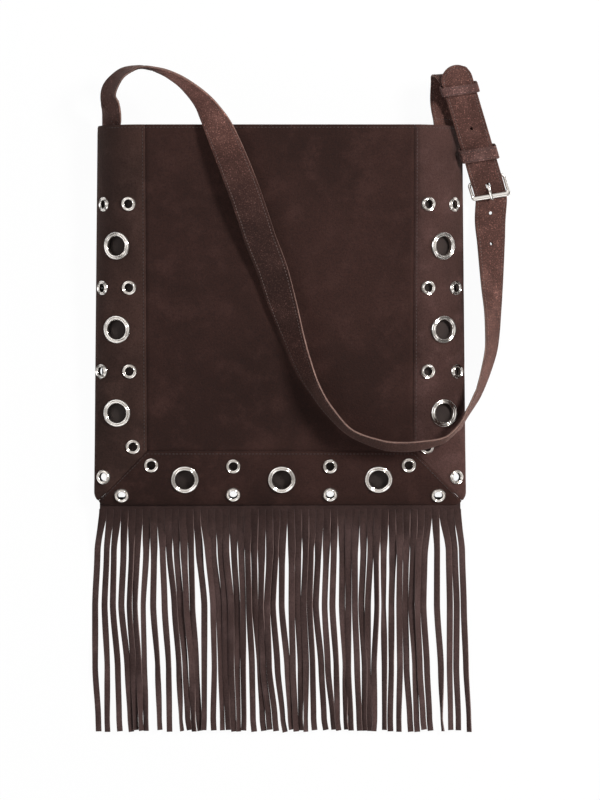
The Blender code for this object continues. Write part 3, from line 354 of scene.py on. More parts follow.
def eyelet_places():
    """Band, size, inset from the band's edge and place along the band for each eyelet of a face."""
    places = []
    for band in ("left", "right"):
        inner_shift, outer_shift, large_shift = ROW_SHIFTS[band]
        for pair in range(3):
            height = BODY_HEIGHT - FIRST_PAIR_BELOW_MOUTH - pair * PAIR_PITCH
            for size, distance, along in (
                ("small", INNER_ROW + inner_shift, height),
                ("small", OUTER_ROW + outer_shift, height),
                ("large", LARGE_ROW + large_shift, height - PAIR_PITCH / 2),
            ):
                places.append((band, size, inset_over_leather(band, distance, along), along))
        for inset in (CORNER_INNER_INSET, CORNER_OUTER_INSET):
            places.append((band, "small", inset - CORNER_SPREAD, inset * FOOT_STRETCH + CORNER_SPREAD))
            along = inset + CORNER_SPREAD
            in_foot = inset - CORNER_SPREAD / FOOT_STRETCH
            places.append(("foot", "small", in_foot, along if band == "left" else FOOT_WIDTH - along))
    middle = FOOT_WIDTH / 2 + FOOT_ROW_SHIFT
    for step in (-1, 0, 1):
        along = middle + step * FOOT_LARGE_PITCH
        places.append(("foot", "large", FOOT_LARGE_INSET / FOOT_STRETCH, along))
    for step in (-0.5, 0.5):
        along = middle + step * FOOT_LARGE_PITCH
        for inset in (FOOT_INNER_INSET, FOOT_OUTER_INSET):
            places.append(("foot", "small", inset / FOOT_STRETCH, along))
    return places


def stand_on_leather(face, band, inset, along):
    """Placement whose Z points out of the leather here."""
    step = 0.0015
    across = (skin(face, band, inset + step, along) - skin(face, band, inset - step, along)).normalized()
    down = (skin(face, band, inset, along + step) - skin(face, band, inset, along - step)).normalized()
    out = across.cross(down).normalized()
    if (out.z < 0) == (face == "front"):
        out = -out
    turn = Matrix((across, out.cross(across), out)).transposed()
    return Matrix.Translation(skin(face, band, inset, along)) @ turn.to_4x4()


pattern = eyelet_places()
eyelets = {}
for face in ("front", "back"):
    eyelets[face] = []
    for band, size, inset, along in pattern:
        eyelets[face].append((size, stand_on_leather(face, band, inset, along)))


def nap_wave(face, spot):
    """The slack of the suede, as a small rise or fall of its surface."""
    at = Vector((spot.x, spot.y, 0.0 if face == "front" else 5.0))
    wave = 0.0008 * noise.noise(at * 11) + 0.0004 * noise.noise(at * 31) + 0.00015 * noise.noise(at * 85)
    return wave if face == "front" else -abs(wave) * 0.7


def seam_dip(distance):
    """A turned edge rounds down into the seam, with a faint dent where the stitches pull."""
    return -0.0011 * bell(distance, 0.0011) - 0.00022 * bell(distance - 0.0030, 0.0011)


def eyelet_dip(face, spot):
    """The leather is pressed down under and round each eyelet."""
    dip = 0.0
    for size, stand in eyelets[face]:
        gap = (spot - stand.translation).length
        rim = SMALL_RIM if size == "small" else LARGE_RIM
        if gap < rim + 0.012:
            dip = min(dip, -0.0004 * (1.0 if gap < rim else bell(gap - rim, 0.0035)))
    return dip


def grid_normals(points, upward):
    """Unit normals of a grid of points, all on the side that looks up or down at the last column."""
    along = np.gradient(points, axis=0)
    across = np.gradient(points, axis=1)
    normals = np.cross(along, across)
    normals /= np.linalg.norm(normals, axis=2, keepdims=True) + 1e-12
    if (normals[:, -1, 2].mean() > 0) != upward:
        normals = -normals
    return normals


def punch(points, stands, pierce):
    """Marks the grid's cells that stay round each eyelet's hole and rounds the hole's edge."""
    kept = np.ones((points.shape[0] - 1, points.shape[1] - 1), bool)
    middles = (points[:-1, :-1] + points[1:, :-1] + points[:-1, 1:] + points[1:, 1:]) / 4
    for size, stand in stands:
        bore = SMALL_BORE if size == "small" else LARGE_BORE
        hole = bore + EYELET_WALL + pierce
        centre = np.array(stand.translation)
        axis = np.array(stand.to_3x3().col[2])
        gap = middles - centre
        lift = gap @ axis
        flat = np.linalg.norm(gap - lift[..., None] * axis, axis=2)
        gone = (flat < hole) & (np.abs(lift) < 0.010)
        if not gone.any():
            continue
        kept &= ~gone
        touched = np.zeros(points.shape[:2], bool)
        whole = np.zeros(points.shape[:2], bool)
        for shift in ((0, 0), (0, 1), (1, 0), (1, 1)):
            rows = slice(shift[0], points.shape[0] - 1 + shift[0])
            columns = slice(shift[1], points.shape[1] - 1 + shift[1])
            touched[rows, columns] |= gone
            whole[rows, columns] |= ~gone
        for row, column in np.argwhere(touched & whole):
            gap = points[row, column] - centre
            lift = gap @ axis
            flat = gap - lift * axis
            points[row, column] = centre + lift * axis + flat * hole / max(np.linalg.norm(flat), 1e-6)
    return kept


def turn_faces_out(mesh):
    """Makes the faces of a closed mesh point outwards."""
    shape = bmesh.new()
    shape.from_mesh(mesh)
    bmesh.ops.recalc_face_normals(shape, faces=shape.faces)
    shape.to_mesh(mesh)
    shape.free()


def made_piece(name, points, faces, crease, paints, turn_out=True):
    """A piece with smooth faces, and a crease wherever two of them meet at more than this angle."""
    mesh = bpy.data.meshes.new(name)
    mesh.from_pydata(points, [], faces)
    for paint in paints:
        mesh.materials.append(paint)
    if turn_out:
        turn_faces_out(mesh)
    mesh.shade_smooth()
    mesh.set_sharp_from_angle(angle=math.radians(crease))
    thing = bpy.data.objects.new(name, mesh)
    bpy.context.scene.collection.objects.link(thing)
    return thing


def leather_sheet(name, points, normals, thickness, kept, paint):
    """A closed sheet: the outside as given, the inside below it, and walls round every edge."""
    rows, columns = points.shape[:2]
    inside = points - normals * thickness
    verts = np.concatenate([points.reshape(-1, 3), inside.reshape(-1, 3)])
    shift = rows * columns
    number = np.arange(shift).reshape(rows, columns)
    quads = np.stack([number[:-1, :-1], number[:-1, 1:], number[1:, 1:], number[1:, :-1]], axis=2)[kept]
    first = quads[0]
    facing = np.cross(verts[first[1]] - verts[first[0]], verts[first[3]] - verts[first[0]])
    if facing @ normals.reshape(-1, 3)[first[0]] < 0:
        quads = quads[:, ::-1]
    edges = set()
    for quad in quads.tolist():
        for a, b in zip(quad, quad[1:] + quad[:1]):
            if (b, a) in edges:
                edges.remove((b, a))
            else:
                edges.add((a, b))
    walls = [(b, a, a + shift, b + shift) for a, b in sorted(edges)]
    faces = quads.tolist() + (quads[:, ::-1] + shift).tolist() + walls
    used = sorted({index for face in faces for index in face})
    place = {index: i for i, index in enumerate(used)}
    faces = [[place[index] for index in face] for face in faces]
    return made_piece(name, verts[used].tolist(), faces, 55, (paint,), turn_out=False)


def mixed(tree, share, first, second, mode="MIX"):
    """A colour mix of two colours or links by a share that is a number or a link."""
    mix = shader_node(tree, "ShaderNodeMix", data_type="RGBA", blend_type=mode)
    for socket, value in ((0, share), (6, first), (7, second)):
        if isinstance(value, bpy.types.NodeSocket):
            tree.links.new(value, mix.inputs[socket])
        else:
            mix.inputs[socket].default_value = (*value, 1.0) if socket else value
    return mix.outputs[2]


def steps_between(tree, value, low, high):
    """A share that runs from 0 to 1 as a link runs from low to high."""
    node = shader_node(tree, "ShaderNodeMapRange", {"From Min": low, "From Max": high})
    node.clamp = True
    node.interpolation_type = "SMOOTHSTEP"
    tree.links.new(value, node.inputs["Value"])
    return node.outputs["Result"]


def cloud(tree, coordinates, scale, detail=2.0, roughness=0.5):
    """Even noise on the piece's own coordinates."""
    node = shader_node(tree, "ShaderNodeTexNoise", {"Scale": scale, "Detail": detail, "Roughness": roughness})
    tree.links.new(coordinates, node.inputs["Vector"])
    return node.outputs["Fac"]


def new_paint(name, values):
    """A paint, its tree, its shader with these values, and the piece's own coordinates."""
    paint = bpy.data.materials.new(name)
    paint.use_nodes = True
    tree = paint.node_tree
    shader = tree.nodes["Principled BSDF"]
    for socket, value in values.items():
        shader.inputs[socket].default_value = value
    return paint, tree, shader, shader_node(tree, "ShaderNodeTexCoord").outputs["Object"]


def bumped(tree, target, height, strength, distance):
    """Feeds a bump of this height link into the target's normal and returns the bump."""
    bump = shader_node(tree, "ShaderNodeBump", {"Strength": strength, "Distance": distance})
    tree.links.new(height, bump.inputs["Height"])
    tree.links.new(bump.outputs["Normal"], target.inputs["Normal"])
    return bump


def roughened(tree, shader, value, low, high):
    """Lets the roughness run from low to high with a noise link."""
    limits = {"From Min": 0.3, "From Max": 0.7, "To Min": low, "To Max": high}
    rough = shader_node(tree, "ShaderNodeMapRange", limits)
    tree.links.new(value, rough.inputs["Value"])
    tree.links.new(rough.outputs["Result"], shader.inputs["Roughness"])


def suede(name, dark, middle, light, grain, sheen, fleck_scale=1500.0):
    """Suede: nap brushed in soft patches, fine fibres that catch the light, and a matt face."""
    paint, tree, shader, where = new_paint(name, {
        "Specular IOR Level": 0.18,
        "Sheen Weight": sheen,
        "Sheen Roughness": 0.45,
        "Sheen Tint": (0.62, 0.42, 0.36, 1.0),
    })
    patches = cloud(tree, where, 9.0, 3.0, 0.55)
    strokes = cloud(tree, where, 42.0, 4.0, 0.6)
    fibres = cloud(tree, where, 520.0, 3.0, 0.7)
    flecks = cloud(tree, where, fleck_scale, 1.0, 0.5)
    colour = mixed(tree, steps_between(tree, patches, 0.34, 0.66), dark, middle)
    colour = mixed(tree, steps_between(tree, strokes, 0.42, 0.80), colour, light)
    deep = mixed(tree, 1.0, colour, (0.62, 0.60, 0.60), "MULTIPLY")
    bright = mixed(tree, 1.0, colour, [1.0 + grain] * 3, "MULTIPLY")
    colour = mixed(tree, steps_between(tree, fibres, 0.30, 0.62), deep, colour)
    colour = mixed(tree, steps_between(tree, flecks, 0.56, 0.78), colour, bright)
    tree.links.new(colour, shader.inputs["Base Color"])
    roughened(tree, shader, fibres, 0.82, 0.98)
    wide = bumped(tree, shader, strokes, 0.35, 0.0015)
    bumped(tree, wide, fibres, 0.55, 0.0005)
    return paint


body_suede = suede(
    "body_suede",
    dark=(0.0205, 0.0086, 0.0066),
    middle=(0.0305, 0.0128, 0.0100),
    light=(0.041, 0.018, 0.0145),
    grain=0.60,
    sheen=0.06,
)
left_band_suede = suede(
    "left_band_suede",
    dark=(0.028, 0.0140, 0.0110),
    middle=(0.044, 0.0215, 0.0170),
    light=(0.056, 0.029, 0.0235),
    grain=0.60,
    sheen=0.08,
)
# The right band's suede is a lighter copy of the left band's: painted light, standing in for the key lamp
# from the right falling on the band's rolled side.
right_band_suede = suede(
    "right_band_suede",
    dark=(0.030, 0.0145, 0.0120),
    middle=(0.049, 0.0235, 0.0200),
    light=(0.070, 0.036, 0.032),
    grain=0.60,
    sheen=0.12,
)
band_suedes = {"left": left_band_suede, "right": right_band_suede, "foot": body_suede}


def band_rise(face, band, inset, along, spot):
    """How far a band's leather stands out of its plain skin: seams, eyelets and slack."""
    if band == "foot":
        to_panel = FOOT_SEAM - inset * FOOT_STRETCH
        to_mitre = min(along, FOOT_WIDTH - along) - inset
        to_mouth = 1.0
    else:
        to_panel = side_seam_at(along) - inset
        to_mitre = along / FOOT_STRETCH - inset
        to_mouth = BODY_HEIGHT - along
    rise = nap_wave(face, spot) * smooth(inset, 0.0, 0.012)
    rise += seam_dip(to_panel) + 0.8 * seam_dip(max(to_mitre, 0.0) * 0.7) + 0.6 * seam_dip(to_mouth)
    return rise + eyelet_dip(face, spot) - 0.0007 * bell(abs(spot.z - SEAM_HEIGHT), 0.0016)


for face in ("front", "back"):
    for band in ("left", "right", "foot"):
        rows = band_skin(face, band)
        points = np.array([[skin(face, band, inset, along) for inset, along in row] for row in rows])
        normals = grid_normals(points, face == "front")
        for row, line in enumerate(rows):
            for column, (inset, along) in enumerate(line):
                rise = band_rise(face, band, inset, along, Vector(points[row, column]))
                points[row, column] += normals[row, column] * rise
        kept = punch(points, eyelets[face], 0.0002)
        name = f"{face}_{band}_band_suede"
        leather = leather_sheet(name, points, normals, LEATHER, kept, band_suedes[band])
        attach(leather, "bag")
        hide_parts(f"{face}_{band}_band")


def panel_spot(face, across_share, height):
    """A point of a panel's outside, from one side seam to the other."""
    reach = half_width_at(height) - side_seam_at(height) - SEAM_SET_BACK
    x = reach * (2 * across_share - 1)
    if face == "front":
        z = top_at(height)
    else:
        border = min(reach - abs(x), height - FOOT_SEAM)
        z = BACK_LIFT * (1 - smooth(border, 0.0, 0.012))
    return Vector((BODY_CENTRE_X + x, FOOT_Y + height, z))


def eased(count):
    """Shares from 0 to 1 that lie closer at both ends."""
    return [0.3 * i / count + 0.7 * (0.5 - 0.5 * math.cos(math.pi * i / count)) for i in range(count + 1)]


def panel_rise(face, height, spot):
    """How far a panel's leather stands out of its plain skin."""
    side_gap = half_width_at(height) - side_seam_at(height) - abs(spot.x - BODY_CENTRE_X)
    rise = nap_wave(face, spot) - 0.0010 * bell(side_gap, 0.0016) - 0.0010 * bell(height - FOOT_SEAM, 0.0016)
    rise += 0.6 * seam_dip(BODY_HEIGHT - height)
    return rise if face == "front" else min(rise, 0.0)


for face in ("front", "back"):
    columns = eased(96)
    heights = [blend(FOOT_SEAM + SEAM_SET_BACK, BODY_HEIGHT, share) for share in eased(120)]
    points = np.array([[panel_spot(face, share, height) for share in columns] for height in heights])
    normals = grid_normals(points, face == "front")
    for row, height in enumerate(heights):
        for column in range(len(columns)):
            rise = panel_rise(face, height, Vector(points[row, column]))
            points[row, column] += normals[row, column] * rise
    kept = np.ones((points.shape[0] - 1, points.shape[1] - 1), bool)
    leather = leather_sheet(f"{face}_panel_suede", points, normals, LEATHER, kept, body_suede)
    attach(leather, "bag")
    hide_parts(f"{face}_panel")

# The thread: panels, bands and the mouth's hem are sewn with a dull brown thread, about three
# stitches to the centimetre. Each row of stitches is sunk a little into the suede.
STITCH_PITCH = 0.0034
THREAD = 0.00072
STITCH = (0.0026, THREAD, THREAD)
THREAD_RISE = 0.00008


def shape_tree(name, inputs):
    """An empty Geometry Nodes tree with these named inputs, and the sockets of its input node."""
    tree = bpy.data.node_groups.new(name, "GeometryNodeTree")
    tree.interface.new_socket("Geometry", in_out="INPUT", socket_type="NodeSocketGeometry")
    for label, kind in inputs:
        tree.interface.new_socket(label, in_out="INPUT", socket_type=kind)
    tree.interface.new_socket("Geometry", in_out="OUTPUT", socket_type="NodeSocketGeometry")
    return tree, tree.nodes.new("NodeGroupInput").outputs


def chain(tree, start, steps):
    """Runs a geometry link through one node after another and returns the last one's link."""
    link = start
    for node, socket in steps:
        tree.links.new(link, node.inputs[socket])
        link = node.outputs[0]
    return link


def end_tree(tree, link, paint_link):
    """Realizes the instances, sets their material and ends the tree."""
    realize = tree.nodes.new("GeometryNodeRealizeInstances")
    paint_all = tree.nodes.new("GeometryNodeSetMaterial")
    tree.links.new(paint_link, paint_all.inputs["Material"])
    last = chain(tree, link, [(realize, 0), (paint_all, "Geometry")])
    tree.links.new(last, tree.nodes.new("NodeGroupOutput").inputs[0])


def grown(name, seed_mesh, tree, values, smooth_faces=True):
    """A plain mesh object that the tree makes from the seed mesh with these input values."""
    seed = bpy.data.objects.new(name + "_seed", seed_mesh)
    bpy.context.scene.collection.objects.link(seed)
    modifier = seed.modifiers.new("grow", "NODES")
    modifier.node_group = tree
    for item in tree.interface.items_tree:
        if item.in_out == "INPUT" and item.name in values:
            modifier[item.identifier] = values[item.name]
    made = bpy.data.meshes.new_from_object(seed.evaluated_get(bpy.context.evaluated_depsgraph_get()))
    seed.modifiers.remove(modifier)
    bpy.data.objects.remove(seed)
    made.name = name
    if smooth_faces:
        made.shade_smooth()
    thing = bpy.data.objects.new(name, made)
    bpy.context.scene.collection.objects.link(thing)
    return thing


def stitch_tree():
    """Lays a spindle of thread at every pitch along each line of the seed mesh."""
    inputs = [("Pitch", "NodeSocketFloat"), ("Stitch", "NodeSocketVector"), ("Thread", "NodeSocketMaterial")]
    tree, given = shape_tree("stitch_rows", inputs)
    line = tree.nodes.new("GeometryNodeMeshToCurve")
    even = shader_node(tree, "GeometryNodeResampleCurve", mode="LENGTH")
    tree.links.new(given["Pitch"], even.inputs["Length"])
    spindle = shader_node(tree, "GeometryNodeMeshUVSphere", {"Segments": 6, "Rings": 5, "Radius": 0.5})
    sized = tree.nodes.new("GeometryNodeTransform")
    tree.links.new(spindle.outputs[0], sized.inputs[0])
    tree.links.new(given["Stitch"], sized.inputs["Scale"])
    lay = tree.nodes.new("GeometryNodeInstanceOnPoints")
    aim = shader_node(tree, "FunctionNodeAlignRotationToVector", axis="X")
    tree.links.new(tree.nodes.new("GeometryNodeInputTangent").outputs[0], aim.inputs["Vector"])
    tree.links.new(aim.outputs[0], lay.inputs["Rotation"])
    tree.links.new(sized.outputs[0], lay.inputs["Instance"])
    laid = chain(tree, given["Geometry"], [(line, 0), (even, "Curve"), (lay, "Points")])
    end_tree(tree, laid, given["Thread"])
    return tree


def lines_mesh(name, lines, values=None):
    """A mesh of open lines, with a value for each point under each name."""
    mesh = bpy.data.meshes.new(name)
    points = []
    edges = []
    for line in lines:
        edges += [(len(points) + i, len(points) + i + 1) for i in range(len(line) - 1)]
        points += [tuple(point) for point in line]
    mesh.from_pydata(points, edges, [])
    for label, numbers in (values or {}).items():
        kind = "FLOAT_VECTOR" if hasattr(numbers[0], "__len__") else "FLOAT"
        attribute = mesh.attributes.new(label, kind, "POINT")
        attribute.data.foreach_set("vector" if kind == "FLOAT_VECTOR" else "value", np.ravel(numbers))
    return mesh


def thread_paint(name, colour):
    """Twisted thread: a dull sheen and a fine slanted twist."""
    paint, tree, shader, where = new_paint(name, {"Roughness": 0.7})
    twist = shader_node(tree, "ShaderNodeTexWave", {"Scale": 900.0, "Distortion": 1.5})
    twist.bands_direction = "DIAGONAL"
    tree.links.new(where, twist.inputs["Vector"])
    twisted = mixed(tree, twist.outputs["Fac"], [0.6 * c for c in colour], colour)
    tree.links.new(twisted, shader.inputs["Base Color"])
    bumped(tree, shader, twist.outputs["Fac"], 0.4, 0.0003)
    return paint


brown_thread = thread_paint("brown_thread", (0.050, 0.034, 0.031))
stitch_rows = stitch_tree()


def sewn(name, rows, pitch, stitch, thread):
    """Stitches of this length and thickness along rows of points."""
    values = {"Pitch": pitch, "Stitch": stitch, "Thread": thread}
    return grown(name + "_stitches", lines_mesh(name + "_rows", rows), stitch_rows, values)


def on_band(face, band, inset, along):
    """A point of a band's finished outside, with the thread half sunk into it."""
    stand = stand_on_leather(face, band, inset, along)
    out = stand.to_3x3().col[2]
    return stand.translation + out * (band_rise(face, band, inset, along, stand.translation) + THREAD_RISE)


def on_panel(face, share, height):
    """A point of a panel's finished outside, with the thread half sunk into it."""
    spot = panel_spot(face, share, height)
    rise = panel_rise(face, height, spot) + THREAD_RISE
    return spot + Vector((0, 0, rise if face == "front" else -rise))


# How far the stitches lie from the hem's edge, the side seams, the foot's seam and the mitres.
HEM_ROW = 0.0027
SIDE_ROW = 0.0026
FOOT_ROW = 0.0027
MITRE_ROW = 0.0022
for face in ("front", "back"):
    rows = []
    hem = BODY_HEIGHT - HEM_ROW
    for band in ("left", "right"):
        heights = [blend(FOOT_SEAM + 0.002, BODY_HEIGHT - 0.004, i / 150) for i in range(151)]
        rows.append([on_band(face, band, side_seam_at(height) - SIDE_ROW, height) for height in heights])
        insets = [blend(0.010, side_seam_at(hem) - 0.001, i / 30) for i in range(31)]
        rows.append([on_band(face, band, inset, hem) for inset in insets])
    places = [blend(FOOT_SEAM, FOOT_WIDTH - FOOT_SEAM, i / 120) for i in range(121)]
    rows.append([on_band(face, "foot", (FOOT_SEAM - FOOT_ROW) / FOOT_STRETCH, place) for place in places])
    insets = [blend(0.006, (FOOT_SEAM - 0.004) / FOOT_STRETCH, i / 30) for i in range(31)]
    rows.append([on_band(face, "foot", inset, inset + MITRE_ROW) for inset in insets])
    rows.append([on_band(face, "foot", inset, FOOT_WIDTH - inset - MITRE_ROW) for inset in insets])
    rows.append([on_panel(face, blend(0.004, 0.996, i / 120), hem) for i in range(121)])
    row = sewn(face, rows, STITCH_PITCH, STITCH, brown_thread)
    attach(row, "bag")

# The eyelets: rings of polished nickel-plated brass, turned over the leather on a round bead and
# set through it with a short barrel. Two sizes, the same pattern in front and behind.
EYELET_BARREL = 0.0026
# Out from the bore as a share of the ring's width, and height over the leather.
EYELET_BEAD = (
    (0.02, 0.0004), (0.08, 0.0010), (0.17, 0.0014), (0.27, 0.00155), (0.36, 0.00135), (0.44, 0.0010),
    (0.50, 0.0007), (0.56, 0.0009), (0.66, 0.0012), (0.78, 0.0013), (0.91, 0.0008),
)


def nickel(name, tone, roughness):
    """Polished plating: faint clouding, and hairlines that spread the highlights a little."""
    paint, tree, shader, where = new_paint(name, {"Metallic": 1.0})
    clouding = cloud(tree, where, 160.0, 3.0, 0.6)
    hairlines = cloud(tree, where, 2600.0, 2.0, 0.6)
    tree.links.new(mixed(tree, clouding, [0.86 * c for c in tone], tone), shader.inputs["Base Color"])
    roughened(tree, shader, clouding, roughness, roughness + 0.06)
    bumped(tree, shader, hairlines, 0.015, 0.0002)
    return paint


polished_nickel = nickel("polished_nickel", (0.88, 0.84, 0.80), 0.11)


def ring_faces(rows, count, closed):
    """Faces between rows of points that each run round a ring, on to the first row if closed."""
    faces = []
    for row in range(rows if closed else rows - 1):
        here = row * count
        after = (row + 1) % rows * count
        for i in range(count):
            ahead = (i + 1) % count
            faces.append((here + i, here + ahead, after + ahead, after + i))
    return faces


def eyelet_ring(name, bore, rim):
    """One eyelet about Z: barrel, funnel, round bead, and a thin edge turned down on the leather."""
    profile = [(bore, -EYELET_BARREL), (bore, -0.0004)]
    profile += [(bore + share * (rim - bore), z) for share, z in EYELET_BEAD]
    profile += [(rim, -0.0002), (rim - 0.0004, -0.0005)]
    profile += [(bore + EYELET_WALL, -0.0006), (bore + EYELET_WALL, -EYELET_BARREL)]
    sides = 56
    points = []
    for step in range(sides):
        angle = 2 * math.pi * step / sides
        points += [(r * math.cos(angle), r * math.sin(angle), z) for r, z in profile]
    return made_piece(name, points, ring_faces(sides, len(profile), True), 60, ())


def eyelet_tree():
    """Sets the given ring on every point, turned as the point's turn says."""
    tree, given = shape_tree("eyelet_rows", [("Ring", "NodeSocketObject"), ("Metal", "NodeSocketMaterial")])
    ring = tree.nodes.new("GeometryNodeObjectInfo")
    tree.links.new(given["Ring"], ring.inputs["Object"])
    turn = shader_node(tree, "GeometryNodeInputNamedAttribute", {"Name": "turn"}, data_type="FLOAT_VECTOR")
    euler = tree.nodes.new("FunctionNodeEulerToRotation")
    tree.links.new(turn.outputs["Attribute"], euler.inputs[0])
    place = tree.nodes.new("GeometryNodeInstanceOnPoints")
    tree.links.new(euler.outputs[0], place.inputs["Rotation"])
    tree.links.new(ring.outputs["Geometry"], place.inputs["Instance"])
    end_tree(tree, chain(tree, given["Geometry"], [(place, "Points")]), given["Metal"])
    return tree


eyelet_rows = eyelet_tree()
for size, bore, rim in (("small", SMALL_BORE, SMALL_RIM), ("large", LARGE_BORE, LARGE_RIM)):
    ring = eyelet_ring(f"{size}_ring", bore, rim)
    for face in ("front", "back"):
        stands = [stand for which, stand in eyelets[face] if which == size]
        spots = []
        for stand in stands:
            seat = nap_wave(face, stand.translation) * 0.8 - 0.0001
            spots.append([stand.translation + stand.to_3x3().col[2] * seat])
        turns = [tuple(stand.to_euler()) for stand in stands]
        seed = lines_mesh(f"{face}_{size}_spots", spots, {"turn": turns})
        values = {"Ring": ring, "Metal": polished_nickel}
        rings = grown(f"{face}_eyelets_{size}", seed, eyelet_rows, values, smooth_faces=False)
        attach(rings, "bag")
        stood_for = [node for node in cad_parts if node.startswith(f"{face}_eyelet_{size}_")]
        if stood_for:
            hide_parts(*stood_for)
    bpy.data.objects.remove(ring)

# Inside: a facing of plain woven cloth runs round the mouth, with the lining of the same cloth sewn
# to it. The lining ends short of the edges, so the outer eyelets look right through the bag.
FACING = 0.0012
FACING_DEPTH = 0.034
FACING_SET_BACK = 0.0006
LINING = 0.0008
LINING_SET_BACK = 0.0038
LINING_INSET = 0.014
LINING_SIDE_INSET = 0.0045
LINING_NARROWING = 0.024
CLOTH_GAP = 0.0003


def front_wall(turn, height, fullness, depth):
    """Inset and height of the front's wall, moved inwards by depth along its normal."""
    base = SEAM_HEIGHT + SEAM_SET_BACK
    climb = top_at(height) - base

    def at(angle):
        across = 1 - max(math.cos(angle), 0.0) ** (2 / fullness)
        up = max(math.sin(angle), 0.0) ** (2 / fullness)
        return Vector((EDGE_ROLL * across, base + climb * up))

    along = (at(min(turn + 0.02, math.pi / 2)) - at(max(turn - 0.02, 0.0))).normalized()
    return at(turn) + depth * Vector((along.y, -along.x))


def back_wall(turn, depth):
    """Inset and height of the back's wall, moved inwards by depth along its normal."""
    drop = SEAM_HEIGHT - BACK_LIFT
    spot = Vector((BACK_ROLL * (1 - math.cos(turn)), BACK_LIFT + drop * (1 - math.sin(turn))))
    return spot + depth * Vector((drop * math.cos(turn), BACK_ROLL * math.sin(turn))).normalized()


def ceiling_at(height, depth):
    """Underside of the front wall this high over the foot edge."""
    share = min(max(height / FOOT_STRETCH / EDGE_ROLL, 0.0), 1.0)
    climb = (1 - (1 - share) ** RIGHT_FULLNESS) ** (1 / RIGHT_FULLNESS)
    return blend(SEAM_HEIGHT, top_at(height), climb) - depth * 1.4


def inside_loop(height, depth, least_inset, slack):
    """Points round the inside of the wall at one height, drawn in a little where the cloth is slack."""
    loop = []
    for side in (-1, 1):
        fullness = LEFT_FULLNESS if side < 0 else RIGHT_FULLNESS
        spots = [back_wall(math.radians(a), depth) for a in (88, 70, 50, 32, 16)]
        for turn in (0, 8, 16, 25, 35, 45, 55, 65, 75, 84, 90):
            spots.append(front_wall(math.radians(turn), height, fullness, depth))
        flat = half_width_at(height) - 0.0001
        steps = 22
        low = [Vector((blend(flat, spots[0].x, i / steps), spots[0].y)) for i in range(steps)]
        high = [Vector((blend(spots[-1].x, flat, (i + 1) / steps), spots[-1].y)) for i in range(steps)]
        spots = low + spots + high
        if side > 0:
            spots.reverse()
        for spot in spots:
            inset = max(spot.x, least_inset)
            z = min(spot.y, ceiling_at(height, depth))
            point = in_plan(side, inset, height, z)
            if slack:
                middle = Vector((BODY_CENTRE_X, point.y, (SEAM_HEIGHT + top_at(height)) / 2))
                fold = 0.5 + 0.5 * noise.noise(Vector((point.x * 45, point.y * 16, point.z * 30)))
                point += (middle - point).normalized() * slack * fold
            loop.append(point)
    return loop


def cap_faces(start, count):
    """Faces straight across a flat ring of points."""
    faces = []
    for i in range(count // 2 - 1):
        faces.append((start + i, start + i + 1, start + count - 2 - i, start + count - 1 - i))
    return faces


def cloth_tube(name, levels, thickness, paint, closed_end):
    """A closed sheet through stacked loops, outer layer first, its foot open or capped."""
    outer = [inside_loop(*level) for level in levels]
    inner = []
    for height, depth, least_inset, slack in levels:
        if closed_end and height == levels[-1][0]:
            height += thickness
        if least_inset:
            least_inset += thickness
        inner.append(inside_loop(height, depth + thickness, least_inset, slack))
    count = len(outer[0])
    points = [tuple(point) for loop in outer + inner for point in loop]
    shift = len(outer) * count
    faces = []
    for a, b, over_b, over_a in ring_faces(len(outer), count, False):
        faces += [(a, b, over_b, over_a), (shift + over_a, shift + over_b, shift + b, shift + a)]
    last = shift - count
    for i in range(count):
        after = (i + 1) % count
        faces.append((after, i, shift + i, shift + after))
        if not closed_end:
            faces.append((last + i, last + after, shift + last + after, shift + last + i))
    if closed_end:
        faces += cap_faces(last, count) + cap_faces(shift + last, count)
    return made_piece(name, points, faces, 60, (paint,))


def times(tree, first, second):
    """The product of two links."""
    product = shader_node(tree, "ShaderNodeMath", operation="MULTIPLY")
    tree.links.new(first, product.inputs[0])
    tree.links.new(second, product.inputs[1])
    return product.outputs[0]


def woven(name, warp, weft):
    """Plain woven lining: fine threads over and under, with a faint unevenness."""
    paint, tree, shader, where = new_paint(name, {"Roughness": 0.85})
    threads = []
    for direction in ("X", "Y"):
        wave = shader_node(tree, "ShaderNodeTexWave", {"Scale": 420.0, "Distortion": 0.6, "Detail": 1.0})
        wave.bands_direction = direction
        tree.links.new(where, wave.inputs["Vector"])
        threads.append(wave.outputs["Fac"])
    crossings = times(tree, *threads)
    colour = mixed(tree, crossings, warp, weft)
    colour = mixed(tree, steps_between(tree, cloud(tree, where, 30.0, 3.0), 0.35, 0.7), colour, warp)
    tree.links.new(colour, shader.inputs["Base Color"])
    bumped(tree, shader, crossings, 0.5, 0.0003)
    return paint


lining_cloth = woven("lining_cloth", (0.020, 0.012, 0.010), (0.034, 0.021, 0.018))
facing_top = BODY_HEIGHT - CLOTH_GAP
facing_foot = BODY_HEIGHT - FACING_DEPTH
levels = [(blend(facing_top, facing_foot, i / 14), LEATHER + FACING_SET_BACK, 0.0, 0.0) for i in range(15)]
facing = cloth_tube("mouth_facing_cloth", levels, FACING, lining_cloth, False)
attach(facing, "bag")
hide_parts("mouth_facing")

lining_top = facing_foot - CLOTH_GAP
levels = []
for i in range(41):
    height = blend(lining_top, LINING_INSET * FOOT_STRETCH, i / 40)
    share = smooth(lining_top - height, 0.0, LINING_NARROWING)
    reach_in = blend(LINING_INSET, LINING_SIDE_INSET, smooth(height, 0.045, 0.062))
    slack = 0.0035 * smooth(lining_top - height, 0.004, 0.05) * smooth(height - LINING_INSET, 0.0, 0.04)
    levels.append((height, blend(LEATHER + FACING_SET_BACK, LINING_SET_BACK, share), reach_in * share, slack))
lining = cloth_tube("lining_bag", levels, LINING, lining_cloth, True)
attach(lining, "bag")
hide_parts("lining")

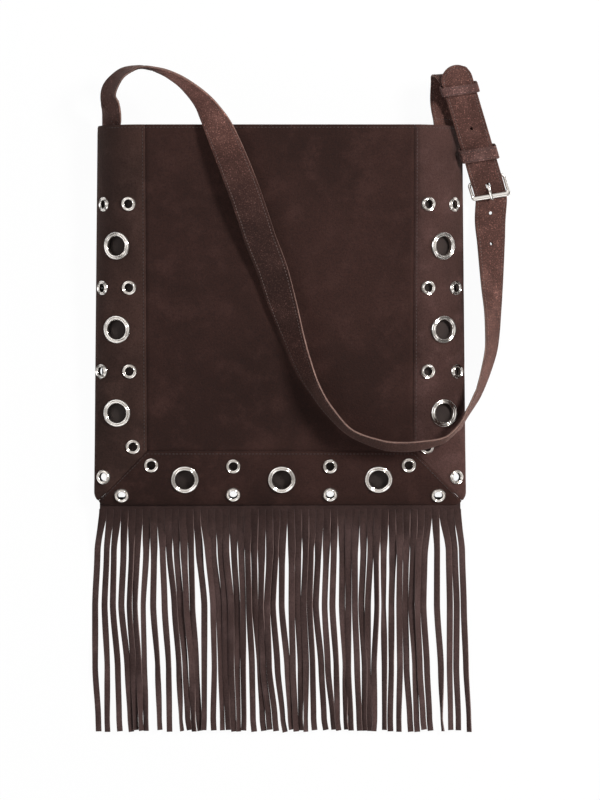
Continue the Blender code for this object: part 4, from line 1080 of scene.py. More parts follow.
# The fringe: one sheet of suede caught in the foot seam and slit into fifty strips. The strips
# bunch, twist and cross on their way down, and their cut edges are paler than their faces.
FRINGE_SHEET = 0.0014
FRINGE_INSET = 0.0058
FRINGE_TUCK = 0.008
FRINGE_HEADER = 0.006
FRINGE_LENGTH = 0.2185
FRINGE_STRIPS = 50
FRINGE_SLOT = 0.0009
FRINGE_DROP_LENGTH = 0.060
FRINGE_SHADE_DEPTH = 0.045
FRINGE_LAYER = 0.0012
HALF_WAY = 0.094
LOW_WAY = 0.205
PAST_ENDS = 0.225
# Runs of strips that lie together: left and right end from the bag's middle in millimetres and
# how many strips, half way down the fringe and near its ends.
HALF_WAY_RUNS = (
    (-180, -174, 1), (-171, -165, 1), (-163, -157, 1), (-155, -149, 1), (-147, -136, 2), (-133, -129, 1),
    (-126, -117, 1), (-114, -107, 1), (-104, -81, 4), (-76, -69, 1), (-67, -4, 11), (-1, 4, 1), (8, 37, 5),
    (40, 45, 1), (47, 53, 1), (56, 87, 5), (90, 95, 1), (97, 101, 1), (104, 109, 1), (111, 140, 5),
    (146, 154, 1), (159, 179, 3),
)
LOW_RUNS = (
    (-177, -171, 1), (-168, -163, 1), (-157, -151, 1), (-146, -126, 4), (-118, -113, 1), (-109, -103, 1),
    (-97, -93, 1), (-91, -70, 4), (-67, -61, 1), (-58, -32, 5), (-30, -22, 1), (-20, -2, 3), (0, 5, 1),
    (7, 27, 4), (29, 35, 1), (38, 46, 1), (48, 57, 2), (60, 70, 2), (73, 93, 4), (97, 108, 2),
    (111, 116, 1), (121, 146, 4), (153, 156, 1), (161, 165, 1), (168, 173, 1), (178, 183, 1),
)
STRIP_WIDTH = (FOOT_WIDTH - 2 * FRINGE_INSET + FRINGE_SLOT) / FRINGE_STRIPS - FRINGE_SLOT


def strip_places(runs):
    """Middle and showing width of each strip, in metres from the bag's middle."""
    places = []
    for left, right, count in runs:
        each = (right - left) / 1000 / count
        for i in range(count):
            places.append((left / 1000 + each * (i + 0.5), min(each, STRIP_WIDTH)))
    return places


def fringe_height(down):
    """Height of the sheet's middle: out of the seam, then down to the floor."""
    return blend(SEAM_HEIGHT, FRINGE_SHEET / 2 + 0.0003, smooth(down, 0.0, FRINGE_DROP_LENGTH))


def through(stations, at):
    """A smooth value at this place from pairs of place and value."""
    for (x0, y0), (x1, y1) in zip(stations, stations[1:]):
        if at <= x1:
            return blend(y0, y1, smooth(at, x0, x1) * 0.55 + 0.45 * (at - x0) / (x1 - x0))
    return stations[-1][1]


luck = random.Random(50)
half_way = strip_places(HALF_WAY_RUNS)
low = strip_places(LOW_RUNS)
strips = []
tilts = []
spans = []
for strip in range(FRINGE_STRIPS):
    root_left = -FOOT_WIDTH / 2 + FRINGE_INSET + strip * (STRIP_WIDTH + FRINGE_SLOT)
    root = root_left + STRIP_WIDTH / 2
    mid_x, mid_shows = half_way[strip]
    low_x, low_shows = low[strip]
    lean_mid = math.acos(min(1.0, mid_shows / STRIP_WIDTH)) * luck.choice((-1, 1)) + luck.uniform(-0.28, 0.28)
    lean_low = math.acos(min(1.0, low_shows / STRIP_WIDTH)) * luck.choice((-1, 1)) + luck.uniform(-0.35, 0.35)
    end = FRINGE_LENGTH - luck.uniform(0.0, 0.0025)
    outer = smooth(min(strip, FRINGE_STRIPS - 1 - strip), 7, 0)
    opens = blend(luck.uniform(0.010, 0.045), FRINGE_HEADER, outer)
    places = [(0.0, root), (blend(FRINGE_HEADER, 0.001, outer), root)]
    places += [(0.040, blend(root, mid_x, blend(0.30, 0.85, outer)) + luck.uniform(-0.0012, 0.0012))]
    places += [(HALF_WAY, mid_x), (0.155, blend(mid_x, low_x, 0.5) + luck.uniform(-0.0018, 0.0018))]
    places += [(LOW_WAY, low_x)]
    places += [(PAST_ENDS, low_x + 0.3 * (low_x - mid_x) + luck.uniform(-0.0010, 0.0010))]
    turns = [(0.0, 0.0), (0.018, luck.uniform(-0.40, 0.40))]
    turns += [(0.040, lean_mid * 0.6 + luck.uniform(-0.3, 0.3)), (HALF_WAY, lean_mid)]
    turns += [(0.150, luck.uniform(-0.7, 0.7)), (LOW_WAY, lean_low), (PAST_ENDS, lean_low * 0.8)]
    lift = (strip % 3) * FRINGE_LAYER
    line = []
    steps = 56
    for i in range(steps + 1):
        down = blend(-0.001, end, i / steps)
        turn = through(turns, max(down, 0.0))
        tilt_lift = abs(math.sin(turn)) * STRIP_WIDTH / 2
        x = BODY_CENTRE_X + through(places, max(down, 0.0))
        y = FOOT_Y - FRINGE_HEADER + 0.0015 - down * (1 - FRINGE_HEADER / FRINGE_LENGTH)
        z = fringe_height(down) + tilt_lift + lift * smooth(down, 0.012, 0.05)
        line.append(Vector((x, y, z)))
        tilts.append(turn)
        root_spread = blend(1.21, 1.0, smooth(down, opens, opens + 0.022))
        spans.append(root_spread * blend(1.0, 0.93, smooth(down, 0.12, 0.21)))
    strips.append(line)


def strip_tree():
    """Sweeps a flat strip with round corners along each line, turned as its points say."""
    inputs = [("Width", "NodeSocketFloat"), ("Thickness", "NodeSocketFloat"), ("Suede", "NodeSocketMaterial")]
    tree, given = shape_tree("fringe_strips", inputs)
    line = tree.nodes.new("GeometryNodeMeshToCurve")
    upright = shader_node(tree, "GeometryNodeSetCurveNormal", mode="Z_UP")
    tilt = tree.nodes.new("GeometryNodeSetCurveTilt")
    turn = shader_node(tree, "GeometryNodeInputNamedAttribute", {"Name": "turn"}, data_type="FLOAT")
    tree.links.new(turn.outputs["Attribute"], tilt.inputs["Tilt"])
    section = tree.nodes.new("GeometryNodeCurvePrimitiveQuadrilateral")
    tree.links.new(given["Width"], section.inputs["Width"])
    tree.links.new(given["Thickness"], section.inputs["Height"])
    rounded = shader_node(tree, "GeometryNodeFilletCurve", {"Count": 2, "Radius": 0.0004}, mode="POLY")
    tree.links.new(section.outputs[0], rounded.inputs["Curve"])
    place = tree.nodes.new("GeometryNodeInputPosition")
    parts = tree.nodes.new("ShaderNodeSeparateXYZ")
    tree.links.new(place.outputs[0], parts.inputs[0])
    store = shader_node(tree, "GeometryNodeStoreNamedAttribute", data_type="FLOAT", domain="POINT")
    store.inputs["Name"].default_value = "beside"
    tree.links.new(rounded.outputs[0], store.inputs["Geometry"])
    tree.links.new(parts.outputs["X"], store.inputs["Value"])
    sweep = shader_node(tree, "GeometryNodeCurveToMesh", {"Fill Caps": True})
    tree.links.new(store.outputs[0], sweep.inputs["Profile Curve"])
    span = shader_node(tree, "GeometryNodeInputNamedAttribute", {"Name": "span"}, data_type="FLOAT")
    tree.links.new(span.outputs["Attribute"], sweep.inputs["Scale"])
    steps = [(line, 0), (upright, "Curve"), (tilt, "Curve"), (sweep, "Curve")]
    end_tree(tree, chain(tree, given["Geometry"], steps), given["Suede"])
    return tree


def fringe_suede(name):
    """The fringe's suede, with the paler raw fibre showing along each strip's cut edges, and painted shadow
    darkening the strips just under the bag's foot seam.
    """
    paint = suede(
        name,
        dark=(0.046, 0.026, 0.0235),
        middle=(0.064, 0.038, 0.035),
        light=(0.080, 0.049, 0.046),
        grain=0.35,
        sheen=0.12,
    )
    tree = paint.node_tree
    shader = tree.nodes["Principled BSDF"]
    face = shader.inputs["Base Color"].links[0].from_socket
    beside = shader_node(tree, "ShaderNodeAttribute", attribute_name="beside")
    size = shader_node(tree, "ShaderNodeMath", operation="ABSOLUTE")
    tree.links.new(beside.outputs["Fac"], size.inputs[0])
    place = tree.nodes.new("ShaderNodeSeparateXYZ")
    tree.links.new(shader_node(tree, "ShaderNodeTexCoord").outputs["Object"], place.inputs[0])
    # Painted shadow: the strips are darkened near the foot seam, as if shaded by the bag's body above them.
    painted_shadow_share = steps_between(tree, place.outputs["Y"], FOOT_Y - FRINGE_SHADE_DEPTH, FOOT_Y - 0.004)
    face = mixed(tree, painted_shadow_share, face, mixed(tree, 1.0, face, (0.55, 0.50, 0.48), "MULTIPLY"))
    edge = steps_between(tree, size.outputs[0], STRIP_WIDTH / 2 - 0.00025, STRIP_WIDTH / 2 - 0.00005)
    tree.links.new(mixed(tree, edge, face, (0.15, 0.105, 0.097)), shader.inputs["Base Color"])
    return paint


fringe_paint = fringe_suede("fringe_suede")
seed = lines_mesh("strip_lines", strips, {"turn": tilts, "span": spans})
values = {"Width": STRIP_WIDTH, "Thickness": FRINGE_SHEET, "Suede": fringe_paint}
fringe = grown("fringe_strips", seed, strip_tree(), values)
fringe.data.set_sharp_from_angle(angle=math.radians(50))
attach(fringe, "bag")

header_left = -FOOT_WIDTH / 2 + FRINGE_INSET
header_x = [blend(header_left, -header_left, i / 150) for i in range(151)]
header_y = [FRINGE_TUCK - i * 0.0014 for i in range(12)]
points = np.zeros((len(header_y), len(header_x), 3))
for row, y in enumerate(header_y):
    for column, x in enumerate(header_x):
        wave = 0.0003 * noise.noise(Vector((x * 60, y * 60, 2.0)))
        z = fringe_height(max(-y, 0.0)) + FRINGE_SHEET / 2 + wave
        points[row, column] = (BODY_CENTRE_X + x, FOOT_Y + y, z)
kept = np.ones((len(header_y) - 1, len(header_x) - 1), bool)
header = leather_sheet("fringe_header", points, grid_normals(points, True), FRINGE_SHEET, kept, fringe_paint)
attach(header, "bag")
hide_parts("fringe")

# The straps: two layers of suede stitched together near both edges, 30 mm wide. The long one
# comes out of the mouth's left corner, arches over the front, goes round a loop beside the bag
# and up through the buckle. Its cut edges are bare and paler than its faces.
STRAP_WIDTH = 0.030
STRAP = 0.0024
STRAP_TUCK = 0.020
LEFT_STRAP_INSET = 0.0010
RIGHT_STRAP_INSET = 0.0042
LAYER_GAP = 0.0008
GAP = 0.0003
BUCKLE_OUT = 0.0236
BUCKLE_DOWN = 0.0504
BUCKLE_Z = 0.0145
BUCKLE_HEADING = math.radians(17.2)
STACK_SLOPE = math.radians(18.0)
PIVOT_RADIUS = 0.0015
BAR_SPACING = 0.017
FRAME_LIFT = math.radians(11.5)
BILLET_LENGTH = 0.1187
PRONG_HOLE_U = -0.0058
HOLE_RADIUS = 0.0016
HOLE_PITCH = 0.030
PRONG_SLOT = (0.0085, 0.0042)
WRAP_RADIUS = PIVOT_RADIUS + GAP + STRAP / 2
RETURN_N = WRAP_RADIUS
BILLET_N = RETURN_N + STRAP + LAYER_GAP
FRONT_BAR_N = BAR_SPACING * math.sin(FRAME_LIFT)
UNDER_BAR_N = FRONT_BAR_N - PIVOT_RADIUS - 2 * GAP - STRAP / 2
UP = Vector((0.0, 0.0, 1.0))
# Where the strap's stations are measured from, by the mouth's and the foot's corners.
MOUTH_LEFT_X = BODY_CENTRE_X - 0.173
MOUTH_RIGHT_X = BODY_CENTRE_X + 0.173
FOOT_RIGHT_X = BODY_CENTRE_X + 0.1765


def buckle_place():
    """The buckle's own frame: U up the strap, W to the right, N outwards, as X, Y and Z columns."""
    up_strap = Vector((-math.sin(BUCKLE_HEADING), math.cos(BUCKLE_HEADING), 0.0))
    right = Vector((math.cos(BUCKLE_HEADING), math.sin(BUCKLE_HEADING), 0.0))
    along = math.cos(STACK_SLOPE) * up_strap + math.sin(STACK_SLOPE) * UP
    spot = Vector((MOUTH_RIGHT_X + BUCKLE_OUT, MOUTH_Y - BUCKLE_DOWN, BUCKLE_Z))
    return Matrix.Translation(spot) @ Matrix((along, right, right.cross(along))).transposed().to_4x4()


at_buckle = buckle_place()


def smooth_line(values, steps):
    """A curve through the values, each span cut into the same number of steps."""
    padded = [2 * values[0] - values[1], *values, 2 * values[-1] - values[-2]]
    line = []
    for a, b, c, d in zip(padded, padded[1:], padded[2:], padded[3:]):
        for t in (step / steps for step in range(steps)):
            square = (2 * a - 5 * b + 4 * c - d) * t ** 2
            line.append(0.5 * (2 * b + (c - a) * t + square + (3 * b - 3 * c + d - a) * t ** 3))
    line.append(values[-1])
    return line


def strap_stands(centres, widths):
    """Centre, width direction and outward normal along a strap."""
    stands = []
    for i, centre in enumerate(centres):
        ahead = (centres[min(i + 1, len(centres) - 1)] - centres[max(i - 1, 0)]).normalized()
        across = (widths[i] - widths[i].dot(ahead) * ahead).normalized()
        stands.append((centre, across, across.cross(ahead)))
    return stands


def seat_in_mouth(side, least_inset, height):
    """Middle and width direction of a strap end laid flat against the inside of the facing."""
    fullness = LEFT_FULLNESS if side < 0 else RIGHT_FULLNESS
    depth = LEATHER + FACING_SET_BACK + FACING + 0.0008 + STRAP / 2
    line = [front_wall(math.radians(90) * i / 400, height, fullness, depth) for i in range(401)]
    line.append(Vector((3 * STRAP_WIDTH, line[-1].y)))
    low = next(spot for spot in line if spot.x >= least_inset + depth * 0.8)
    for start, end in zip(line, line[1:]):
        if start.x > low.x and (end - low).length >= STRAP_WIDTH:
            break
    share = (STRAP_WIDTH - (start - low).length) / max((end - low).length - (start - low).length, 1e-9)
    high = start.lerp(end, min(max(share, 0.0), 1.0))
    outer = in_plan(side, low.x, height, low.y)
    inner = in_plan(side, high.x, height, high.y)
    return (outer + inner) / 2, (inner - outer).normalized()


def lies_at(x, y):
    """Height of whatever lies under this place: the bag's front, or the floor beside it."""
    height = y - FOOT_Y
    inset = half_width_at(height) - abs(x - BODY_CENTRE_X)
    if not 0 <= height <= BODY_HEIGHT or inset < 0:
        return 0.0
    fullness = LEFT_FULLNESS if x < BODY_CENTRE_X else RIGHT_FULLNESS
    share = min(min(inset, height / FOOT_STRETCH) / EDGE_ROLL, 1.0)
    return blend(SEAM_HEIGHT, top_at(height), (1 - (1 - share) ** fullness) ** (1 / fullness))


# Across from the mouth's left corner, up from the mouth, height over the floor, lean in degrees.
ARCH = (
    (0.0126, 0.0133, 0.041, 56), (0.0109, 0.0237, 0.043, 58), (0.0115, 0.0322, 0.046, 61),
    (0.0157, 0.0398, 0.050, 66), (0.0221, 0.0466, 0.054, 71), (0.0294, 0.0508, 0.057, 77),
    (0.0390, 0.0534, 0.060, 84), (0.0457, 0.0532, 0.062, 90), (0.0528, 0.0520, 0.064, 92),
    (0.0666, 0.0471, 0.067, 99), (0.0818, 0.0380, 0.070, 107), (0.0975, 0.0235, 0.072, 120),
    (0.1079, 0.0086, 0.073, 137), (0.1179, -0.0105, 0.072, 155), (0.1349, -0.0523, 0.068, 171),
    (0.1467, -0.0855, 0.063, 174),
)
# Across from the mouth's left corner, down from the mouth, clearance under it, lean.
OVER_FRONT = (
    (0.1545, 0.1093, 0.0080, 171), (0.1657, 0.1378, 0.0050, 163), (0.1744, 0.1663, 0.0035, 152),
    (0.1867, 0.2043, 0.0026, 130), (0.1978, 0.2347, 0.0024, 119), (0.2082, 0.2546, 0.0024, 109),
    (0.2200, 0.2717, 0.0024, 105), (0.2400, 0.2921, 0.0024, 101),
)
# Across from the foot's right corner, down from the mouth, clearance under it, lean.
LOOP = (
    (-0.0810, 0.3035, 0.0024, 105), (-0.0620, 0.3059, 0.0028, 106), (-0.0430, 0.3047, 0.0032, 105),
    (-0.0240, 0.3007, 0.0040, 99), (-0.0145, 0.2950, 0.0055, 95), (-0.0050, 0.2850, 0.0075, 95),
    (0.0011, 0.2746, 0.0190, 96), (0.0087, 0.2613, 0.0130, 100), (0.0135, 0.2518, 0.0090, 102),
    (0.0197, 0.2337, 0.0050, 107), (0.0247, 0.2138, 0.0030, 112), (0.0262, 0.1948, 0.0022, 117),
    (0.0264, 0.1758, 0.0022, 122), (0.0258, 0.1539, 0.0016, 132), (0.0250, 0.1140, 0.0012, 150),
    (0.0243, 0.0903, 0.0012, 168),
)
# Along the strap, to the right and outwards, in the buckle's own frame.
THROUGH_BUCKLE = (
    (-BAR_SPACING - 0.0055, -0.0011, UNDER_BAR_N - 0.0002), (-BAR_SPACING, 0.0, UNDER_BAR_N),
    (-BAR_SPACING + 0.0035, 0.0, UNDER_BAR_N + 0.0008), (-0.0085, 0.0, blend(UNDER_BAR_N, BILLET_N, 0.58)),
    (-0.0045, 0.0, BILLET_N - 0.0006), (0.0, 0.0, BILLET_N), (0.010, 0.0, BILLET_N),
    (BILLET_LENGTH / 2, 0.0, BILLET_N), (BILLET_LENGTH - STRAP_WIDTH / 2, 0.0, BILLET_N),
)


def long_strap_line():
    """Centres and width directions from inside the mouth to the start of the rounded tip."""
    tucked = BODY_HEIGHT - STRAP_TUCK
    seats = [seat_in_mouth(-1, LEFT_STRAP_INSET, height) for height in (tucked, BODY_HEIGHT)]
    centres = [seat[0] for seat in seats]
    widths = [seat[1] for seat in seats]
    leans = []
    for across, up, z, lean in ARCH:
        centres.append(Vector((MOUTH_LEFT_X + across, MOUTH_Y + up, z)))
        leans.append(lean)
    for start_x, stations in ((MOUTH_LEFT_X, OVER_FRONT), (FOOT_RIGHT_X, LOOP)):
        for across, down, clear, lean in stations:
            turn = math.radians(lean)
            half = STRAP_WIDTH / 2 * abs(math.sin(turn)) + STRAP / 2 * abs(math.cos(turn))
            x, y = start_x + across, MOUTH_Y - down
            centres.append(Vector((x, y, lies_at(x, y) + half + clear)))
            leans.append(lean)
    centres += [at_buckle @ Vector(place) for place in THROUGH_BUCKLE]
    for i, lean in enumerate(leans, start=len(seats)):
        heading = centres[i + 1] - centres[i - 1]
        right = heading.cross(UP).normalized()
        widths.append(math.cos(math.radians(lean)) * right + math.sin(math.radians(lean)) * UP)
    widths += [-at_buckle.to_3x3().col[1]] * len(THROUGH_BUCKLE)
    return smooth_line(centres, 9), smooth_line(widths, 9)


# Across the strap as a share of its half width, and out as a share of its half thickness: a face
# dented under the stitches, a turned corner and a flat cut edge.
STRAP_SECTION = (
    (-1.0, 0.55), (-0.985, 0.86), (-0.94, 0.98), (-0.87, 0.97), (-0.83, 0.88), (-0.79, 0.95),
    (-0.6, 1.0), (-0.2, 1.02), (0.2, 1.02), (0.6, 1.0),
    (0.79, 0.95), (0.83, 0.88), (0.87, 0.97), (0.94, 0.98), (0.985, 0.86), (1.0, 0.55),
)


def strap_mesh(name, stands, halves, thickness, section, paints, closed=False):
    """A strap swept along its stands, with the first paint on its faces and the second on its edges."""
    ring = [(w, n) for w, n in section] + [(w, -n) for w, n in reversed(section)]
    count = len(ring)
    points = []
    for (centre, across, normal), half in zip(stands, halves):
        points += [tuple(centre + across * w * half + normal * n * thickness / 2) for w, n in ring]
    faces = ring_faces(len(stands), count, closed)
    marks = [1 if i % len(section) == len(section) - 1 else 0 for i in range(count)] * (len(faces) // count)
    if not closed:
        ends = cap_faces(0, count) + cap_faces((len(stands) - 1) * count, count)
        faces += ends
        marks += [1] * len(ends)
    thing = made_piece(name, points, faces, 40, paints)
    thing.data.polygons.foreach_set("material_index", marks)
    return thing


def drilled(thing, cutters):
    """Cuts round or square holes through a piece with one closed tool mesh."""
    tool = bpy.data.objects.new("punch", cutters)
    bpy.context.scene.collection.objects.link(tool)
    modifier = thing.modifiers.new("holes", "BOOLEAN")
    modifier.operation = "DIFFERENCE"
    modifier.solver = "EXACT"
    modifier.object = tool
    made = bpy.data.meshes.new_from_object(thing.evaluated_get(bpy.context.evaluated_depsgraph_get()))
    thing.modifiers.remove(modifier)
    old = thing.data
    thing.data = made
    made.name = old.name + "_cut"
    bpy.data.objects.remove(tool)
    return thing


def punch_mesh(placed_outlines):
    """One mesh of upright prisms: each a placement, an outline about Z and a reach."""
    points = []
    faces = []
    for place, outline, reach in placed_outlines:
        start = len(points)
        count = len(outline)
        points += [tuple(place @ Vector((x, y, z))) for z in (-reach, reach) for x, y in outline]
        faces.append(tuple(start + i for i in reversed(range(count))))
        faces.append(tuple(start + count + i for i in range(count)))
        faces += [tuple(start + i for i in side) for side in ring_faces(2, count, False)]
    mesh = bpy.data.meshes.new("punches")
    mesh.from_pydata(points, [], faces)
    turn_faces_out(mesh)
    return mesh


def oval(length, width):
    """An oval outline, round at both ends, along X."""
    straight = (length - width) / 2
    ends = []
    for i in range(24):
        angle = 2 * math.pi * (i + 0.5) / 24
        c, s = math.cos(angle), math.sin(angle)
        ends.append((math.copysign(straight, c) + width / 2 * c, width / 2 * s))
    return ends


def back_along(stands, index, distance):
    """The stand this far back along a strap."""
    while distance > 0:
        step = (stands[index][0] - stands[index - 1][0]).length
        if step >= distance:
            share = distance / step
            return tuple(here.lerp(back, share) for here, back in zip(stands[index], stands[index - 1]))
        distance -= step
        index -= 1
    return stands[index]


STRAP_PITCH = 0.0032
STRAP_STITCH = (0.0024, 0.00062, 0.00062)
STRAP_ROW_INSET = 0.0026
STRAP_ROW = STRAP_WIDTH / 2 - STRAP_ROW_INSET
STRAP_ROW_OUT = STRAP / 2 * 0.88 + 0.00006
CROSS_ROW_HALF = 0.012


def strap_rows(stands, first, last):
    """Stitch lines near both edges of both faces, from one stand to another."""
    rows = []
    for side in (-1, 1):
        for face in (-1, 1):
            row = [c + a * side * STRAP_ROW + n * face * STRAP_ROW_OUT for c, a, n in stands[first:last]]
            rows.append(row)
    return rows


def cross_rows(stand):
    """A stitch line across each face at one stand, where the strap's end is sewn into the mouth."""
    centre, across, normal = stand
    rows = []
    for face in (-1, 1):
        out = normal * face * (STRAP / 2 + 0.0001)
        rows.append([centre + across * share * CROSS_ROW_HALF + out for share in (-1, -0.5, 0, 0.5, 1)])
    return rows


def cut_edge(name, colour):
    """A bare cut edge: pale fibres in fine layers along the strap."""
    paint, tree, shader, where = new_paint(name, {"Roughness": 0.8, "Specular IOR Level": 0.3})
    fibres = cloud(tree, where, 900.0, 3.0, 0.7)
    worn = cloud(tree, where, 60.0, 3.0, 0.6)
    layers = mixed(tree, steps_between(tree, fibres, 0.35, 0.65), [0.62 * c for c in colour], colour)
    edge = mixed(tree, steps_between(tree, worn, 0.5, 0.75), layers, [1.25 * c for c in colour])
    tree.links.new(edge, shader.inputs["Base Color"])
    bumped(tree, shader, fibres, 0.5, 0.0004)
    return paint


# Painted light and shade on the long strap at places up the bag, as shares of its plain colour: a painted
# highlight near its crest by the mouth and painted shade lower over the front.
LIGHT_TONE_LOW = -0.06
LIGHT_TONE_HIGH = 0.32
LIGHT_TONE_MOST = 3.4
PAINTED_LIGHT_TONES = (
    (-0.050, 0.90), (0.000, 0.75), (0.045, 0.95), (0.081, 0.55), (0.114, 0.42), (0.160, 0.42),
    (0.195, 0.56), (0.223, 0.90), (0.250, 1.55), (0.272, 2.40), (0.295, 3.30),
)
STRAP_SUEDE = {
    "dark": (0.043, 0.0190, 0.0150),
    "middle": (0.068, 0.031, 0.025),
    "light": (0.105, 0.050, 0.041),
    "grain": 2.3,
    "sheen": 0.12,
    "fleck_scale": 900.0,
}


def brushed(name):
    """The long strap's suede, with painted light by height up the bag: a painted highlight near the crest and
    painted shade over the front.
    """
    paint = suede(name, **STRAP_SUEDE)
    tree = paint.node_tree
    shader = tree.nodes["Principled BSDF"]
    face = shader.inputs["Base Color"].links[0].from_socket
    place = tree.nodes.new("ShaderNodeSeparateXYZ")
    tree.links.new(shader_node(tree, "ShaderNodeTexCoord").outputs["Object"], place.inputs[0])
    height = shader_node(tree, "ShaderNodeMapRange", {"From Min": LIGHT_TONE_LOW, "From Max": LIGHT_TONE_HIGH}, clamp=True)
    tree.links.new(place.outputs["Y"], height.inputs["Value"])
    tones = shader_node(tree, "ShaderNodeValToRGB")
    tones.color_ramp.interpolation = "EASE"
    # Painted highlight and painted shade: the tones lighten the strap near its crest and darken it lower over
    # the front.
    for y, tone in PAINTED_LIGHT_TONES:
        stop = tones.color_ramp.elements.new((y - LIGHT_TONE_LOW) / (LIGHT_TONE_HIGH - LIGHT_TONE_LOW))
        stop.color = (tone / LIGHT_TONE_MOST, tone / LIGHT_TONE_MOST, tone / LIGHT_TONE_MOST, 1.0)
    tree.links.new(height.outputs[0], tones.inputs[0])
    shaded = shader_node(tree, "ShaderNodeVectorMath", {"Scale": LIGHT_TONE_MOST}, operation="SCALE")
    tree.links.new(mixed(tree, 1.0, face, tones.outputs[0], "MULTIPLY"), shaded.inputs[0])
    from_left = steps_between(tree, place.outputs["X"], -0.145, -0.120)
    to_right = steps_between(tree, place.outputs["X"], 0.120, 0.090)
    over_front = times(tree, from_left, to_right)
    tree.links.new(mixed(tree, over_front, face, shaded.outputs[0]), shader.inputs["Base Color"])
    return paint


strap_suede = suede("strap_suede", **STRAP_SUEDE)
bare_edge = cut_edge("bare_edge", (0.185, 0.115, 0.095))
painted_light_strap_suede = brushed("long_strap_suede")
tan_thread = thread_paint("tan_thread", (0.135, 0.092, 0.082))

centres, widths = long_strap_line()
halves = [STRAP_WIDTH / 2] * len(centres)
body_stands = len(centres)
for turn in (10, 20, 30, 40, 50, 60, 68, 75, 81, 86):
    along = BILLET_LENGTH - STRAP_WIDTH / 2 * (1 - math.sin(math.radians(turn)))
    centres.append(at_buckle @ Vector((along, 0.0, BILLET_N)))
    widths.append(widths[-1])
    halves.append(STRAP_WIDTH / 2 * math.cos(math.radians(turn)))
stands = strap_stands(centres, widths)
long_strap = strap_mesh("long_strap_suede", stands, halves, STRAP, STRAP_SECTION, (painted_light_strap_suede, bare_edge))
round_hole = oval(2 * HOLE_RADIUS, 2 * HOLE_RADIUS)
prong_slot = oval(*PRONG_SLOT)
reach = 3 * STRAP
tools = []
for step in (1, 2):
    spot = Matrix.Translation((PRONG_HOLE_U + step * HOLE_PITCH, 0.0, BILLET_N))
    tools.append((at_buckle @ spot, round_hole, reach))
prong_spot = at_buckle @ Vector((PRONG_HOLE_U, 0.0, BILLET_N))
prong_hole = min(range(len(stands)), key=lambda i: (stands[i][0] - prong_spot).length)
for step in (0, 1, 2):
    centre, across, normal = back_along(stands, prong_hole, step * HOLE_PITCH)
    turn = Matrix((normal.cross(across), across, normal)).transposed().to_4x4()
    tools.append((Matrix.Translation(centre) @ turn, round_hole if step else prong_slot, reach))
drilled(long_strap, punch_mesh(tools))
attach(long_strap, "bag")
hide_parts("long_strap")

rows = strap_rows(stands, 12, body_stands)
for face in (-1, 1):
    tip = []
    for i in range(25):
        angle = math.radians(180 * i / 24)
        along = BILLET_LENGTH - STRAP_WIDTH / 2 + STRAP_ROW * math.sin(angle)
        tip.append(at_buckle @ Vector((along, STRAP_ROW * math.cos(angle), BILLET_N + face * STRAP_ROW_OUT)))
    rows.append(tip)
rows += cross_rows(stands[14])
long_stitches = sewn("long_strap", rows, STRAP_PITCH, STRAP_STITCH, tan_thread)
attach(long_stitches, "bag")

# The short strap: the same make. It comes out of the mouth's right corner, folds back on itself
# at its top, runs down to the buckle's pivot bar, and is turned round the bar under itself.
FOLD_U = 0.1005
FOLD_SHIFT = 0.0090
FOLD_SINK = 0.0007
FOLD_RADIUS = 0.0080
TURNED_END = 0.017
PRONG_WIDTH = 0.0028
SLOT_CLEARANCE = 0.0006


def short_strap_line():
    """Centres and width directions from inside the mouth to the turned end under the pivot bar."""
    to_right = at_buckle.to_3x3().col[1]
    tucked = BODY_HEIGHT - STRAP_TUCK
    seats = [seat_in_mouth(1, RIGHT_STRAP_INSET, height) for height in (tucked, BODY_HEIGHT)]
    centres = [seat[0] for seat in seats]
    widths = [-seat[1] for seat in seats]
    fold_end = at_buckle @ Vector((FOLD_U, -FOLD_SHIFT, RETURN_N - 2 * FOLD_RADIUS))
    level = Vector((1.0, 0.08, 0.0)).normalized()
    for share in (0.35, 0.7):
        centres.append(centres[1].lerp(fold_end, share))
        widths.append(widths[1].lerp(level, min(1.0, share * 1.3)))
    for turn in (0, 45, 90, 135, 180):
        angle = math.radians(turn)
        out = RETURN_N - FOLD_SINK - FOLD_RADIUS * (1 + math.cos(angle))
        sideways = -FOLD_SHIFT * (1 + math.cos(angle)) / 2
        centres.append(at_buckle @ Vector((FOLD_U + FOLD_RADIUS * math.sin(angle), sideways, out)))
        widths.append(level.lerp(to_right, min(1.0, turn / 110)))
    flat = [(along, RETURN_N) for along in (FOLD_U - STRAP, FOLD_U * 0.72, FOLD_U * 0.4, 0.008)]
    turns = [math.radians(a) for a in (90, 126, 162, 198, 234, 270)]
    wrap = [(WRAP_RADIUS * math.cos(turn), WRAP_RADIUS * math.sin(turn)) for turn in turns]
    under = [(TURNED_END * 0.5, -WRAP_RADIUS * 0.5), (TURNED_END, RETURN_N - STRAP - GAP)]
    for along, out in flat + wrap + under:
        centres.append(at_buckle @ Vector((along, 0.0, out)))
        widths.append(to_right)
    return smooth_line(centres, 8), smooth_line(widths, 8)


centres, widths = short_strap_line()
flat_end = 8 * 12
stands = strap_stands(centres, widths)
halves = [STRAP_WIDTH / 2] * len(stands)
short_strap = strap_mesh("short_strap_suede", stands, halves, STRAP, STRAP_SECTION, (strap_suede, bare_edge))
slot = PRONG_WIDTH / 2 + SLOT_CLEARANCE
reach = WRAP_RADIUS + STRAP
slot_outline = [(-reach, -slot), (reach, -slot), (reach, slot), (-reach, slot)]
drilled(short_strap, punch_mesh([(at_buckle, slot_outline, reach)]))
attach(short_strap, "bag")
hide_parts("short_strap")
rows = strap_rows(stands, 10, flat_end) + cross_rows(stands[11])
short_stitches = sewn("short_strap", rows, STRAP_PITCH, STRAP_STITCH, tan_thread)
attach(short_stitches, "bag")

